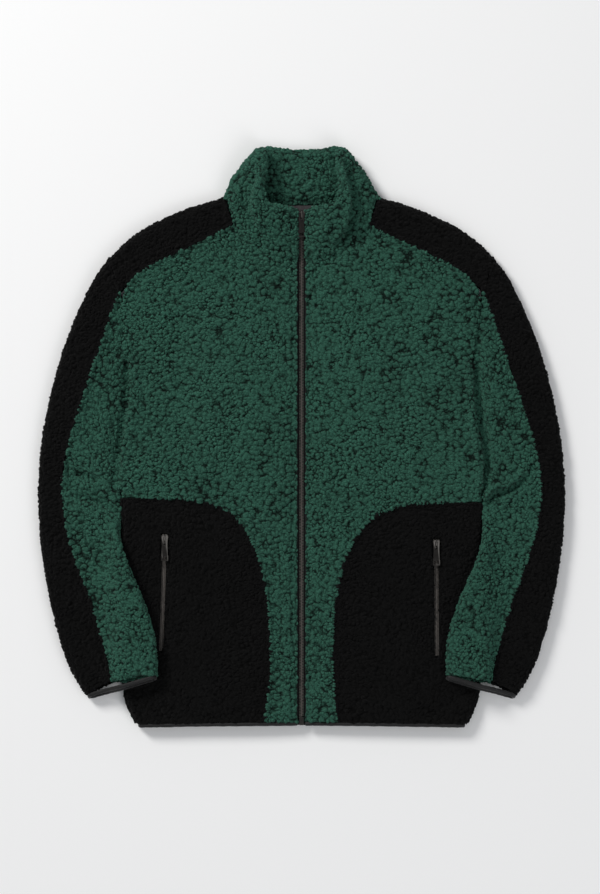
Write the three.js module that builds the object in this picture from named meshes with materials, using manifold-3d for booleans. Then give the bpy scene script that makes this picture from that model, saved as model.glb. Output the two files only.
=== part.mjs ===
// A high-pile fleece jacket, zipped up and laid flat on its back.
// Millimetres. X points to the wearer's left, Y from the hem to the collar, Z up from where it lies.
// The origin is on the underside of the back, in the middle of the jacket's outline.
import * as THREE from "three";
import { mergeVertices } from "three/addons/utils/BufferGeometryUtils.js";
import Module from "manifold-3d";

const wasm = await Module();
wasm.setup();

// Driving sizes of the cloth
const FLEECE = 7; // backing and pile together
const AIR = 3.6; // between the front and the back where they lie on each other
const SEAM = 0.3; // from one piece to the next
const BODY_THICK = 2 * FLEECE + AIR;
const ROLL = BODY_THICK / 2; // how round a folded edge is
const LEAST_AIR = 2.3; // under the deepest fold
const SEAM_TURN = 18; // degrees that a sewn edge turns down
const SIDE_TURN = 90; // degrees that the front and the back turn to meet at the side seam
const HEM_UP = -385.5; // lower edge of the fleece at the zip
const HEM_DROP = 2.6; // how much lower it is at the sides

// Driving sizes of the main zip and the pocket zips
const ZIP_GAP = 5.4; // from the centre line to the fleece
const CHAIN = { half: 3, top: 11.4, thick: 2.8 };
const TAPE = { thick: 0.8, below: 2.4, reach: 10.5, inGroove: 5 };
const ZIP_PRESS = 3; // the fleece is sewn down beside a zip
const POCKET_SLOT = { half: 3.4, atSlider: 5.4, sliderRoom: 24 };
const PULL = {
  long: 33,
  top: 4.2,
  end: 4.7,
  thick: 1.5,
  bar: 1,
  slotHalf: 1.6,
  slotEnd: 11.5,
  drop: 1,
  pocketDrop: -1,
};
const SLIDER = { long: 12, wide: 4.6, narrow: 3.5, over: 1.5, under: 0.9 };
const BAIL = { half: 0.9, hole: 1.6, ring: 2.7, leg: 10 };

const LEFT = 1; // the wearer's left is at +X
const RIGHT = -1;
const SIDES = [["right", RIGHT], ["left", LEFT]];

const { clamp, degToRad } = THREE.MathUtils;
const smooth = (t) => THREE.MathUtils.smoothstep(t, 0, 1);
const plan = (out, up) => new THREE.Vector2(out, up);
const point = (x, y, z) => new THREE.Vector3(x, y, z);

// The half outlines: "out" is from the centre front, "up" is towards the collar

// Side seam, from the armpit to the hem
const sideEdge = [
  { out: 243.9, up: -74.5 },
  { out: 244.2, up: -113 },
  { out: 243.7, up: -167 },
  { out: 242.6, up: -275 },
  { out: 241.8, up: -340 },
  { out: 235.6, up: -368 },
  { out: 225, up: HEM_UP - HEM_DROP },
];

// Seam between the pocket panel and the green front, from the hem to the side
const pocketEdge = [
  { out: 49.3, up: HEM_UP },
  { out: 46.6, up: -367 },
  { out: 41.9, up: -329 },
  { out: 41.2, up: -289 },
  { out: 42.5, up: -248 },
  { out: 46.5, up: -210 },
  { out: 53.5, up: -175 },
  { out: 65, up: -142 },
  { out: 84, up: -112 },
  { out: 112, up: -93 },
  { out: 146, up: -85.5 },
  { out: 192, up: -84 },
  { out: 243.9, up: -84 },
];
const POCKET_LOWER = { [RIGHT]: 0, [LEFT]: -6 }; // the left panel is sewn a little lower

// Shoulder strip: the fold along the top of the shoulder, and the seam to the front and the back
const shoulderRows = [
  { foldOut: 106, foldUp: 322.7, seamOut: 91.1, seamUp: 286.2 },
  { foldOut: 139.7, foldUp: 313.9, seamOut: 123.5, seamUp: 268 },
  { foldOut: 177.5, foldUp: 299, seamOut: 158.6, seamUp: 252.5 },
  { foldOut: 211.3, foldUp: 282.8, seamOut: 191, seamUp: 236.3 },
  { foldOut: 238.3, foldUp: 263.2, seamOut: 217.5, seamUp: 222.5 },
  { foldOut: 260.2, foldUp: 240.3, seamOut: 244.6, seamUp: 195.4 },
];

// Sleeve, from the armhole to the cuff: the outer fold, the seam between the stripe and the under sleeve,
// the inner fold, and how far the row bows towards the body
const sleeveRows = [
  { foldOut: 260.7, foldUp: 239.3, seamOut: 245, seamUp: 194.4, innerOut: 243.7, innerUp: -70.2, bow: 14.2 },
  { foldOut: 274.7, foldUp: 224, seamOut: 250.5, seamUp: 182, innerOut: 245, innerUp: -71.6, bow: 11 },
  { foldOut: 296.3, foldUp: 183.6, seamOut: 257.5, seamUp: 164, innerOut: 246.4, innerUp: -73, bow: 8 },
  { foldOut: 319.3, foldUp: 129.6, seamOut: 273.4, seamUp: 115, innerOut: 246.9, innerUp: -76, bow: 4 },
  { foldOut: 335.5, foldUp: 75.6, seamOut: 290.9, seamUp: 64.8, innerOut: 246.9, innerUp: -79, bow: 1 },
  { foldOut: 347.6, foldUp: 21.6, seamOut: 307.8, seamUp: 14.9, innerOut: 246.7, innerUp: -83, bow: 0 },
  { foldOut: 354.4, foldUp: -25.7, seamOut: 318.6, seamUp: -28.4, innerOut: 246.5, innerUp: -88, bow: 0 },
  { foldOut: 357.1, foldUp: -72.9, seamOut: 324.7, seamUp: -72.9, innerOut: 246.2, innerUp: -95, bow: 0 },
  { foldOut: 355.7, foldUp: -126.9, seamOut: 318, seamUp: -123, innerOut: 246.2, innerUp: -123, bow: 0 },
  { foldOut: 349, foldUp: -180.9, seamOut: 304.4, seamUp: -171.5, innerOut: 237.5, innerUp: -161, bow: 0 },
  { foldOut: 338.2, foldUp: -237.6, seamOut: 284.2, seamUp: -221.4, innerOut: 215.3, innerUp: -210, bow: 0 },
  { foldOut: 322, foldUp: -295.7, seamOut: 267.5, seamUp: -277, innerOut: 197.2, innerUp: -260, bow: 0 },
  { foldOut: 307.1, foldUp: -329.4, seamOut: 260.5, seamUp: -306, innerOut: 193, innerUp: -291, bow: 0 },
  { foldOut: 292.6, foldUp: -348.3, seamOut: 257.2, seamUp: -330.4, innerOut: 194.4, innerUp: -319, bow: 0 },
];
const SLEEVE_STATIONS = 17;
const CUFF_LEAD = 4; // the under layer of the cuff shows below the upper one

// Neckline of the front, from the zip to the end of the shoulder strip
const neckEdge = [
  { out: ZIP_GAP, up: 241.7 },
  { out: 29, up: 245.2 },
  { out: 53.3, up: 254.8 },
  { out: 72.2, up: 267 },
  { out: 90.6, up: 285.4 },
];
const BACK_NECK = { centre: 312.6, side: 316.5 };

// Collar: the middle of its two cloths, from the centre back round to the zip. The rows marked turn
// are worked out as a round fold.
const collarBack = [
  { baseOut: 0, baseUp: 313.2, baseZ: 4.3, rimOut: 0, rimUp: 378.6, rimZ: 7.1, thick: 7 },
  { baseOut: 38, baseUp: 314.6, baseZ: 4.3, rimOut: 27, rimUp: 380.5, rimZ: 7.1, thick: 7 },
  { baseOut: 74, baseUp: 317.6, baseZ: 4.3, rimOut: 42, rimUp: 384, rimZ: 7.6, thick: 7 },
];
const collarTurn = {
  base: { out: 96.4, upFrom: 321.5, upTo: 317, radius: 5.4, z: 9.7 },
  rim: { out: 49.4, upFrom: 386, upTo: 377, radius: 9.6, z: 17.4 },
};
const collarFront = [
  { baseOut: 93.5, baseUp: 291, baseZ: 14.6, rimOut: 53.5, rimUp: 352, rimZ: 31, thick: 7 },
  { baseOut: 77, baseUp: 270, baseZ: 13.9, rimOut: 53.4, rimUp: 329, rimZ: 33, thick: 7 },
  { baseOut: 66, baseUp: 260.5, baseZ: 13.5, rimOut: 52.5, rimUp: 313, rimZ: 33, thick: 7 },
  { baseOut: 54, baseUp: 253.8, baseZ: 13.3, rimOut: 45, rimUp: 304.8, rimZ: 32, thick: 7 },
  { baseOut: 37, baseUp: 246.6, baseZ: 13.3, rimOut: 30, rimUp: 303, rimZ: 29, thick: 7 },
  { baseOut: 20, baseUp: 242, baseZ: 13.3, rimOut: 15, rimUp: 302, rimZ: 25.4, thick: 6 },
  { baseOut: ZIP_GAP, baseUp: 240, baseZ: 13.3, rimOut: ZIP_GAP, rimUp: 299.5, rimZ: 22.5, thick: 4.6 },
];
const COLLAR = {
  seamThick: 4.2,
  fullAt: 0.3,
  bulge: { [RIGHT]: 5.5, [LEFT]: 1.5 }, // the right side is laid out rounder
  stations: 30,
  rows: 5,
  rimSteps: 3,
};

// Folds of the collar: its front stands up as a roll and its sides fall away behind it
const collarFolds = [
  { name: "right roll upper", x: -60, y: 352, toX: -66, toY: 318, wide: 9, high: 2.6 },
  { name: "right roll lower", x: -66, y: 318, toX: -56, toY: 278, wide: 9, high: 2.6 },
  { name: "right crease upper", x: -75, y: 338, toX: -77, toY: 306, wide: 7, high: -4.2 },
  { name: "right crease lower", x: -77, y: 306, toX: -62, toY: 272, wide: 7, high: -3.6 },
  { name: "left roll upper", x: 55, y: 362, toX: 63, toY: 328, wide: 9, high: 2.8 },
  { name: "left roll middle", x: 63, y: 328, toX: 62, toY: 296, wide: 9, high: 3.4 },
  { name: "left roll lower", x: 62, y: 296, toX: 48, toY: 268, wide: 9, high: 3 },
  { name: "left crease upper", x: 66, y: 358, toX: 74, toY: 326, wide: 7, high: -5 },
  { name: "left crease middle", x: 74, y: 326, toX: 73, toY: 292, wide: 7, high: -6.4 },
  { name: "left crease lower", x: 73, y: 292, toX: 54, toY: 262, wide: 7, high: -5.4 },
];

// Folds of the body: ridges and troughs, as soft lines from one place to another
const bodyFolds = [
  { name: "right front beside the armhole", x: -223, y: 190, toX: -219, toY: -10, wide: 17, high: 3.4 },
  { name: "right chest hollow", x: -172, y: 110, toX: -165, toY: 15, wide: 24, high: -1.8 },
  { name: "right chest drape", x: -195, y: -30, toX: -120, toY: -12, wide: 15, high: 1.8 },
  { name: "right side above the pocket", x: -228, y: -48, toX: -150, toY: -58, wide: 12, high: 2 },
  { name: "right yoke wave", x: -120, y: 235, toX: -60, toY: 160, wide: 22, high: 1.8 },
  { name: "right pocket bag", x: -175, y: -352, toX: -120, toY: -366, wide: 11, high: 1.8 },
  { name: "right pocket bag inner end", x: -120, y: -366, toX: -62, toY: -350, wide: 11, high: 1.5 },
  { name: "right hem corner", x: -228, y: -335, toX: -186, toY: -372, wide: 12, high: -1.6 },
  { name: "right zip wave high", x: -30, y: -95, toX: -22, toY: -130, wide: 12, high: -1.6 },
  { name: "right zip wave low", x: -27, y: -290, toX: -24, toY: -330, wide: 10, high: -1.4 },
  { name: "left front beside the armhole", x: 226, y: 200, toX: 214, toY: 60, wide: 17, high: 4.4 },
  { name: "left front beside the armpit", x: 214, y: 60, toX: 226, toY: -90, wide: 17, high: 4.2 },
  { name: "left chest drape", x: 205, y: -10, toX: 110, toY: 22, wide: 18, high: 1.6 },
  { name: "left yoke hollow", x: 60, y: 215, toX: 120, toY: 175, wide: 18, high: -1.8 },
  { name: "left neck crease", x: 14, y: 219, toX: 46, toY: 243, wide: 8, high: -2.2 },
  { name: "left pocket bag", x: 84, y: -352, toX: 138, toY: -364, wide: 11, high: 1.8 },
  { name: "left pocket bag outer end", x: 138, y: -364, toX: 196, toY: -344, wide: 11, high: 2 },
  { name: "left hem corner", x: 172, y: -372, toX: 232, toY: -340, wide: 12, high: -2 },
  { name: "left zip wave", x: 24, y: -200, toX: 22, toY: -250, wide: 10, high: -1.2 },
];

// Folds that run along the armholes, shared by the body and the sleeves
const armholeFolds = [
  { name: "right armhole upper", x: -240, y: 170, toX: -230.5, toY: 60, wide: 9, high: -2.6 },
  { name: "right armhole lower", x: -230.5, y: 60, toX: -240, toY: -55, wide: 9, high: -3 },
  { name: "left armhole upper", x: 238, y: 165, toX: 231, toY: 75, wide: 9, high: -5 },
  { name: "left armhole lower", x: 231, y: 75, toX: 243, toY: -60, wide: 10, high: -5.5 },
];

// Folds of the sleeves, most of them at the bend of the elbow
const sleeveFolds = [
  { name: "right elbow crease", x: -318, y: -52, toX: -262, toY: -84, wide: 8, high: -3.4 },
  { name: "right elbow roll", x: -312, y: -34, toX: -256, toY: -56, wide: 11, high: 2.6 },
  { name: "right elbow under roll", x: -312, y: -84, toX: -268, toY: -104, wide: 11, high: 2.4 },
  { name: "right upper arm wave", x: -300, y: 40, toX: -262, toY: 10, wide: 13, high: 1.6 },
  { name: "right upper arm hollow", x: -256, y: 120, toX: -262, toY: 40, wide: 13, high: -1.8 },
  { name: "right forearm hollow", x: -290, y: -250, toX: -238, toY: -262, wide: 13, high: -1.8 },
  { name: "left elbow crease", x: 262, y: -88, toX: 304, toY: -58, wide: 8, high: -4.4 },
  { name: "left elbow roll", x: 262, y: -104, toX: 318, toY: -80, wide: 11, high: 3 },
  { name: "left upper arm roll", x: 258, y: -46, toX: 306, toY: -30, wide: 13, high: 2.4 },
  { name: "left upper arm hollow", x: 250, y: 110, toX: 256, toY: 10, wide: 11, high: -2.4 },
  { name: "left forearm wave", x: 250, y: -160, toX: 318, toY: -190, wide: 14, high: 1.8 },
  { name: "left forearm hollow", x: 262, y: -242, toX: 226, toY: -226, wide: 13, high: -2 },
];

// Lines where the fleece is only pressed thin
const pocketZips = {
  [RIGHT]: { x: -184.5, y: -136, toX: -189.5, toY: -290 },
  [LEFT]: { x: 182, y: -142, toX: 183, toY: -297 },
};
const pressedLines = [
  { x: -ZIP_GAP, y: 260, toX: -ZIP_GAP, toY: -400, wide: 8, high: ZIP_PRESS },
  { x: ZIP_GAP, y: 260, toX: ZIP_GAP, toY: -400, wide: 8, high: ZIP_PRESS },
  ...Object.values(pocketZips).map((line) => ({ ...line, wide: 9, high: ZIP_PRESS })),
];

// Colours and surfaces
const cloth = (name, color, roughness = 0.95, metalness = 0) =>
  Object.assign(new THREE.MeshStandardMaterial({ color, roughness, metalness }), { name });
const materials = {
  green: cloth("green fleece", 0x2f5f4f),
  black: cloth("black fleece", 0x141414),
  binding: cloth("elastic binding", 0x17171a, 0.6),
  lining: cloth("lining", 0x4b4749, 0.7),
  tape: cloth("zip tape", 0x161617, 0.8),
  chain: cloth("zip teeth", 0x2b2b2e, 0.35, 0.6),
  metal: cloth("slider metal", 0x3a3a3d, 0.3, 0.8),
};

const jacket = new THREE.Group();

function addPiece(name, geometry, material, parent = jacket) {
  const mesh = new THREE.Mesh(geometry, material);
  mesh.name = name;
  parent.add(mesh);
  return mesh;
}

// Heights of the cloth

// Sum of soft lines at a place: each fades to both sides and past its ends
function softLines(rows, x, y) {
  return rows.reduce((sum, row) => {
    const dx = row.toX - row.x;
    const dy = row.toY - row.y;
    const along = clamp(((x - row.x) * dx + (y - row.y) * dy) / (dx * dx + dy * dy), 0, 1);
    const away = Math.hypot(x - row.x - along * dx, y - row.y - along * dy) / row.wide;
    return sum + row.high * Math.exp(-away * away);
  }, 0);
}

const bodyTop = (x, y) => BODY_THICK + softLines(bodyFolds, x, y) + softLines(armholeFolds, x, y);
const frontCloth = {
  face: (x, y) => bodyTop(x, y) - softLines(pressedLines, x, y),
  inside: (x, y) => Math.max(bodyTop(x, y) - FLEECE, FLEECE + LEAST_AIR),
  seam: ROLL + SEAM / 2,
};
const backCloth = { face: () => 0, inside: () => FLEECE, seam: ROLL - SEAM / 2 };

const sideCurve = new THREE.SplineCurve(sideEdge.map((row) => plan(row.out, row.up)));
const sidePoints = sideCurve.getSpacedPoints(60);
const sideOutAt = (up) =>
  sidePoints.reduce((near, p) => (Math.abs(p.y - up) < Math.abs(near.y - up) ? p : near)).x;

// Underside of a sleeve: on the surface, and up over the side of the body where it lies on the front
const SLEEVE_RISE = { from: -92, to: -150, run: 26 };
function sleeveUnder(x, y) {
  const inside = sideOutAt(y) - Math.abs(x);
  const over = smooth((inside + SLEEVE_RISE.run) / SLEEVE_RISE.run);
  const down = smooth((SLEEVE_RISE.from - y) / (SLEEVE_RISE.from - SLEEVE_RISE.to));
  return over * down * (bodyTop(x, y) + 2 * SEAM);
}
const sleeveOver = (x, y) =>
  sleeveUnder(x, y) + BODY_THICK + softLines(sleeveFolds, x, y) + softLines(armholeFolds, x, y);
const stripOver = (x, y) => BODY_THICK + softLines(armholeFolds, x, y);

// Walls of cloth

// A closed body from sections, each a row of outer points and the inner points under them
function wall(sections, closed = false) {
  const count = sections[0].outer.length;
  const size = 2 * count;
  const rings = sections.map((s) => [...s.outer, ...s.inner.toReversed()]);
  const index = [];
  const quad = (a, b, c, d) => index.push(a, b, c, a, c, d);
  const links = closed ? rings.length : rings.length - 1;
  for (let i = 0; i < links; i++) {
    const here = i * size;
    const next = ((i + 1) % rings.length) * size;
    for (let k = 0; k < size; k++) {
      const m = (k + 1) % size;
      quad(here + k, here + m, next + m, next + k);
    }
  }
  if (!closed) {
    const last = (rings.length - 1) * size;
    for (let k = 0; k < count - 1; k++) {
      const [a, b, c, d] = [k, k + 1, size - 2 - k, size - 1 - k];
      quad(d, c, b, a);
      quad(last + a, last + b, last + c, last + d);
    }
  }
  return facingOut(rings.flat(), index);
}

// Turns the faces outwards whichever way the rows ran
function facingOut(points, index) {
  const cross = new THREE.Vector3();
  let volume = 0;
  for (let i = 0; i < index.length; i += 3) {
    const [a, b, c] = [points[index[i]], points[index[i + 1]], points[index[i + 2]]];
    volume += a.dot(cross.crossVectors(b, c));
  }
  if (volume < 0) {
    for (let i = 0; i < index.length; i += 3) {
      [index[i], index[i + 1]] = [index[i + 1], index[i]];
    }
  }
  const geometry = new THREE.BufferGeometry().setFromPoints(points);
  geometry.setIndex(index);
  geometry.computeVertexNormals();
  return geometry;
}

// One row of a panel that lies as one layer, from edge to edge along a plan curve, its ends turned in
function layerRow(path, cloth, { startTurn, endTurn, turnSteps, steps }) {
  const length = path.getLength();
  const starts = ROLL * Math.sin(degToRad(startTurn));
  const ends = ROLL * Math.sin(degToRad(endTurn));
  const row = { outer: [], inner: [] };
  const put = (list, along, centre, angle, height) => {
    const place = path.getPointAt(clamp(along / length, 0, 1));
    const top = path.getPointAt(clamp(centre / length, 0, 1));
    const level = height(top.x, top.y);
    list.push(point(place.x, place.y, cloth.seam + (level - cloth.seam) * Math.cos(angle)));
  };
  const both = (centre, way, angle) => {
    const turn = Math.sin(angle);
    put(row.outer, centre - way * ROLL * turn, centre, angle, cloth.face);
    put(row.inner, centre - way * (ROLL - FLEECE) * turn, centre, angle, cloth.inside);
  };
  for (let k = 0; k < turnSteps[0]; k++) both(starts, 1, degToRad(startTurn * (1 - k / turnSteps[0])));
  for (let k = 0; k <= steps; k++) both(starts + (length - starts - ends) * (k / steps), 1, 0);
  for (let k = 1; k <= turnSteps[1]; k++) both(length - ends, -1, degToRad(endTurn * (k / turnSteps[1])));
  return row;
}

// One row of a folded band: over the top from the seam to the fold, round it, and back underneath
function foldRow(path, over, under, { topSteps, turnSteps, underSteps, lead = null }) {
  const length = path.getLength();
  const seamTurn = degToRad(SEAM_TURN);
  const first = 0.75 * SEAM;
  const start = first + ROLL * Math.sin(seamTurn);
  const centre = length - ROLL;
  const row = { outer: [], inner: [] };
  const put = (along, inAlong, topAt, outerShare, innerShare, turned = 1) => {
    const ref = path.getPointAt(clamp(topAt / length, 0, 1));
    const [top, low] = [over(ref.x, ref.y), under(ref.x, ref.y)];
    const middle = (top + low) / 2;
    const half = (top - low) / 2;
    const hollow = Math.max(half - FLEECE, LEAST_AIR / 2);
    const shift = lead ? lead.clone().multiplyScalar((1 - outerShare) / 2) : plan(0, 0);
    const add = (list, distance, z) => {
      const p = path.getPointAt(clamp(distance / length, 0, 1)).add(shift);
      list.push(point(p.x, p.y, z));
    };
    add(row.outer, along, middle + half * outerShare * turned);
    add(row.inner, inAlong, middle + hollow * innerShare * turned);
  };
  put(first, first + FLEECE * Math.sin(seamTurn), start, 1, 1, Math.cos(seamTurn));
  for (let k = 0; k <= topSteps; k++) {
    const d = start + (centre - start) * (k / topSteps);
    put(d, d, d, 1, 1);
  }
  for (let k = 1; k < turnSteps; k++) {
    const angle = (Math.PI * k) / turnSteps;
    const share = Math.cos(angle);
    put(centre + ROLL * Math.sin(angle), centre + (ROLL - FLEECE) * Math.sin(angle), centre, share, share);
  }
  for (let k = 0; k <= underSteps; k++) {
    const d = centre + (first - centre) * (k / underSteps);
    put(d, d, d, -1, -1);
  }
  return row;
}

// A plan curve from one place to another that bows towards the centre front by a given amount
function bowed(from, to, bow = 0) {
  const control = from.clone().add(to).multiplyScalar(0.5);
  control.x -= 2 * bow * Math.sign(from.x + to.x || 1);
  return new THREE.QuadraticBezierCurve(from, control, to);
}

const mirrored = (side, p) => plan(side * p.x, p.y);

// The columns of a table as a smooth curve through all its rows, sampled at even steps
function smoothRows(rows, stations) {
  const keys = Object.keys(rows[0]);
  const at = (t, key) => {
    const i = Math.min(Math.floor(t), rows.length - 2);
    const pick = (k) => rows[clamp(k, 0, rows.length - 1)][key];
    const f = t - i;
    const [a, b, c, d] = [pick(i - 1), pick(i), pick(i + 1), pick(i + 2)];
    return b + 0.5 * f * (c - a + f * (2 * a - 5 * b + 4 * c - d + f * (3 * (b - c) + d - a)));
  };
  return Array.from({ length: stations + 1 }, (_, n) => {
    const t = (n / stations) * (rows.length - 1);
    return Object.fromEntries(keys.map((key) => [key, at(t, key)]));
  });
}

// Manifold solids for cutting
function solidOf(geometry) {
  const bare = geometry.clone();
  for (const name of Object.keys(bare.attributes)) if (name !== "position") bare.deleteAttribute(name);
  const merged = mergeVertices(bare, 1e-4);
  return new wasm.Manifold(
    new wasm.Mesh({
      numProp: 3,
      vertProperties: new Float32Array(merged.attributes.position.array),
      triVerts: new Uint32Array(merged.index.array),
    }),
  );
}

function geometryOf(solid) {
  const mesh = solid.getMesh();
  const geometry = new THREE.BufferGeometry();
  geometry.setAttribute("position", new THREE.BufferAttribute(mesh.vertProperties, 3));
  geometry.setIndex(new THREE.BufferAttribute(mesh.triVerts, 1));
  geometry.computeVertexNormals();
  return geometry;
}

// An outline given a thickness along Z
const extruded = (shape, depth, curveSegments) =>
  new THREE.ExtrudeGeometry(shape, { depth, bevelEnabled: false, curveSegments });

// An outline made into an upright cutter, tall enough for every layer
function upright(shape, low = -10, high = 80) {
  return solidOf(extruded(shape, high - low, 6).translate(0, 0, low));
}

// Seam lines shared by two pieces

const armholeStart = plan(sleeveRows[0].seamOut, sleeveRows[0].seamUp);
const armholeEnd = plan(sleeveRows[0].innerOut, sleeveRows[0].innerUp);
const armhole = bowed(armholeStart, armholeEnd, sleeveRows[0].bow);
const ARMHOLE_POINTS = 7;
const POCKET_POINTS = 12;
const NECK_POINTS = 6; // the shoulder seam is joined to the neckline, point by point
const hemUpAt = (out) => HEM_UP - HEM_DROP * (out / 225) ** 2;

const shoulderStations = smoothRows(shoulderRows, 7);
const shoulderSeam = shoulderStations.toReversed().slice(1).map((row) => plan(row.seamOut, row.seamUp));

function pocketSeam(side) {
  const lower = POCKET_LOWER[side];
  const points = pocketEdge.map((row, i) => plan(row.out, row.up + (i > 2 ? lower : 0)));
  return new THREE.SplineCurve(points).getSpacedPoints(POCKET_POINTS);
}

// Moves the points of a line sideways, to its right as it runs
function aside(points, distance) {
  return points.map((p, i) => {
    const next = points[Math.min(i + 1, points.length - 1)];
    const along = next.clone().sub(points[Math.max(i - 1, 0)]).normalize();
    return plan(p.x + along.y * distance, p.y - along.x * distance);
  });
}

// Lengths along a line of points, as shares of the whole
function shares(points) {
  const lengths = [0];
  for (let i = 1; i < points.length; i++) {
    lengths.push(lengths[i - 1] + points[i].distanceTo(points[i - 1]));
  }
  return lengths.map((length) => length / lengths.at(-1));
}

// Green front: from the hem up the pocket seam, the side, the armhole and the shoulder seam, each place
// joined by a row to the zip edge or the neckline
const neckCurve = new THREE.SplineCurve(neckEdge.map((row) => plan(row.out, row.up)));
const neckPoints = neckCurve.getSpacedPoints(NECK_POINTS);
function frontPanel(side) {
  const pocket = aside(pocketSeam(side), -SEAM / 2);
  const corner = pocket.pop();
  const armpit = plan(sideEdge[0].out, sideEdge[0].up);
  const hole = armhole.getSpacedPoints(ARMHOLE_POINTS).toReversed().map((p) => plan(p.x - 2 * SEAM, p.y));
  const shoulder = aside([hole.at(-1), ...shoulderSeam], -2 * SEAM).slice(1);
  const outer = [...pocket, plan(corner.x, corner.y + SEAM / 2), armpit, ...hole, ...shoulder];
  const inZip = outer.length - NECK_POINTS;
  const zipEdge = new THREE.LineCurve(plan(ZIP_GAP, HEM_UP), neckPoints[0]);
  const zipShares = shares(outer.slice(0, inZip));
  const sections = outer.map((from, i) => {
    const to = i < inZip ? zipEdge.getPointAt(zipShares[i]) : neckPoints[i - inZip + 1].clone();
    if (i === outer.length - 1) to.lerp(from, -0.2).setY(from.y - 1.5);
    return layerRow(new THREE.LineCurve(mirrored(side, from), mirrored(side, to)), frontCloth, {
      startTurn: Math.abs(i - pocket.length - 0.5) < 1 ? SIDE_TURN : SEAM_TURN,
      endTurn: SEAM_TURN,
      turnSteps: [2, 1],
      steps: 8,
    });
  });
  return wall(sections);
}

// Black panel at the lower front, with the slot of the pocket zip cut through
function pocketPanel(side) {
  const seam = aside(pocketSeam(side), SEAM / 2);
  const top = seam.at(-1).y;
  const edge = sidePoints.filter((p) => p.y < top - 2).toReversed();
  const sideLine = new THREE.SplineCurve([...edge, plan(edge.at(-1).x, top - 1.2)]);
  seam[seam.length - 1] = plan(seam.at(-1).x - 12, seam.at(-1).y);
  const sections = shares(seam).map((share, i) => {
    const path = new THREE.LineCurve(mirrored(side, sideLine.getPointAt(share)), mirrored(side, seam[i]));
    return layerRow(path, frontCloth, {
      startTurn: SIDE_TURN * (i === seam.length - 1 ? 0.6 : 1),
      endTurn: SEAM_TURN,
      turnSteps: [3, 1],
      steps: 7,
    });
  });
  return geometryOf(solidOf(wall(sections)).subtract(upright(pocketSlot(side))));
}

// The slot is wider at its upper end, where the slider sits
function pocketSlot(side) {
  const line = pocketZips[side];
  const lean = (line.toX - line.x) / (line.y - line.toY);
  const at = (across, down) => plan(line.x + lean * down + across, line.y + 4 - down);
  const long = line.y - line.toY + 8;
  const { half, atSlider, sliderRoom } = POCKET_SLOT;
  const outline = [
    at(-atSlider, 0),
    at(-atSlider, sliderRoom),
    at(-half, sliderRoom + 5),
    at(-half, long - 3),
    at(0, long),
    at(half, long - 3),
    at(half, sliderRoom + 5),
    at(atSlider, sliderRoom),
    at(atSlider, 0),
  ];
  return new THREE.Shape(outline);
}

// Back: one panel from side to side, flat on the surface, turned up at the side seams
function backPanel() {
  const side = sidePoints.filter((_, i) => i % 6 === 0).toReversed().map((p) => [p, SIDE_TURN]);
  const hole = armhole.getSpacedPoints(6).toReversed().map((p) => [plan(p.x - 2 * SEAM, p.y), SEAM_TURN]);
  const shoulder = aside([hole.at(-1)[0], ...shoulderSeam], -2 * SEAM).slice(1).map((p) => [p, SEAM_TURN]);
  const strip = shoulderRows[0];
  const neckSide = plan(strip.seamOut + (strip.foldOut - strip.seamOut) * 0.8 - 0.5, BACK_NECK.side);
  const rows = [...side, ...hole, ...shoulder, [neckSide, SEAM_TURN]];
  const sections = rows.map(([p, turn], i) => {
    const bow = i === rows.length - 1 ? BACK_NECK.centre - BACK_NECK.side : i === 0 ? HEM_DROP : 0;
    const path = new THREE.QuadraticBezierCurve(mirrored(RIGHT, p), plan(0, p.y + 2 * bow), p);
    return layerRow(path, backCloth, { startTurn: turn, endTurn: turn, turnSteps: [3, 3], steps: 6 });
  });
  return wall(sections);
}

// Shoulder strip: folded over the top of the shoulder, half on the front and half on the back
function shoulderStrip(side) {
  const sections = shoulderStations.map((row) => {
    const seam = mirrored(side, plan(row.seamOut, row.seamUp));
    const fold = mirrored(side, plan(row.foldOut, row.foldUp));
    const steps = { topSteps: 3, turnSteps: 6, underSteps: 2 };
    return foldRow(new THREE.LineCurve(seam, fold), stripOver, () => 0, steps);
  });
  return wall(sections);
}

// The way the sleeve runs at its cuff, pointing out of it
function cuffWay(side) {
  const end = sleeveRows.at(-1);
  const across = plan(side * (end.innerOut - end.foldOut), end.innerUp - end.foldUp).normalize();
  const way = plan(across.y, -across.x).multiplyScalar(side);
  return way.y < 0 ? way : way.negate();
}

const sleeveStations = smoothRows(sleeveRows, SLEEVE_STATIONS);
const leadAt = (side, i) => (i < SLEEVE_STATIONS ? null : cuffWay(side).multiplyScalar(CUFF_LEAD));

// Black stripe round the outer fold of the sleeve
function sleeveStripe(side) {
  const sections = sleeveStations.map((row, i) => {
    const seam = mirrored(side, plan(row.seamOut, row.seamUp));
    const fold = mirrored(side, plan(row.foldOut, row.foldUp));
    const steps = { topSteps: 3, turnSteps: 6, underSteps: 3, lead: leadAt(side, i) };
    return foldRow(new THREE.LineCurve(seam, fold), sleeveOver, sleeveUnder, steps);
  });
  return wall(sections);
}

// Green under sleeve round the inner fold, from the stripe's seam on top to its seam underneath
function underSleeve(side) {
  const sections = sleeveStations.map((row, i) => {
    const seam = mirrored(side, plan(row.seamOut, row.seamUp));
    const inner = mirrored(side, plan(row.innerOut, row.innerUp));
    const steps = { topSteps: 6, turnSteps: 5, underSteps: 5, lead: leadAt(side, i) };
    return foldRow(bowed(seam, inner, row.bow), sleeveOver, sleeveUnder, steps);
  });
  return wall(sections);
}

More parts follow.
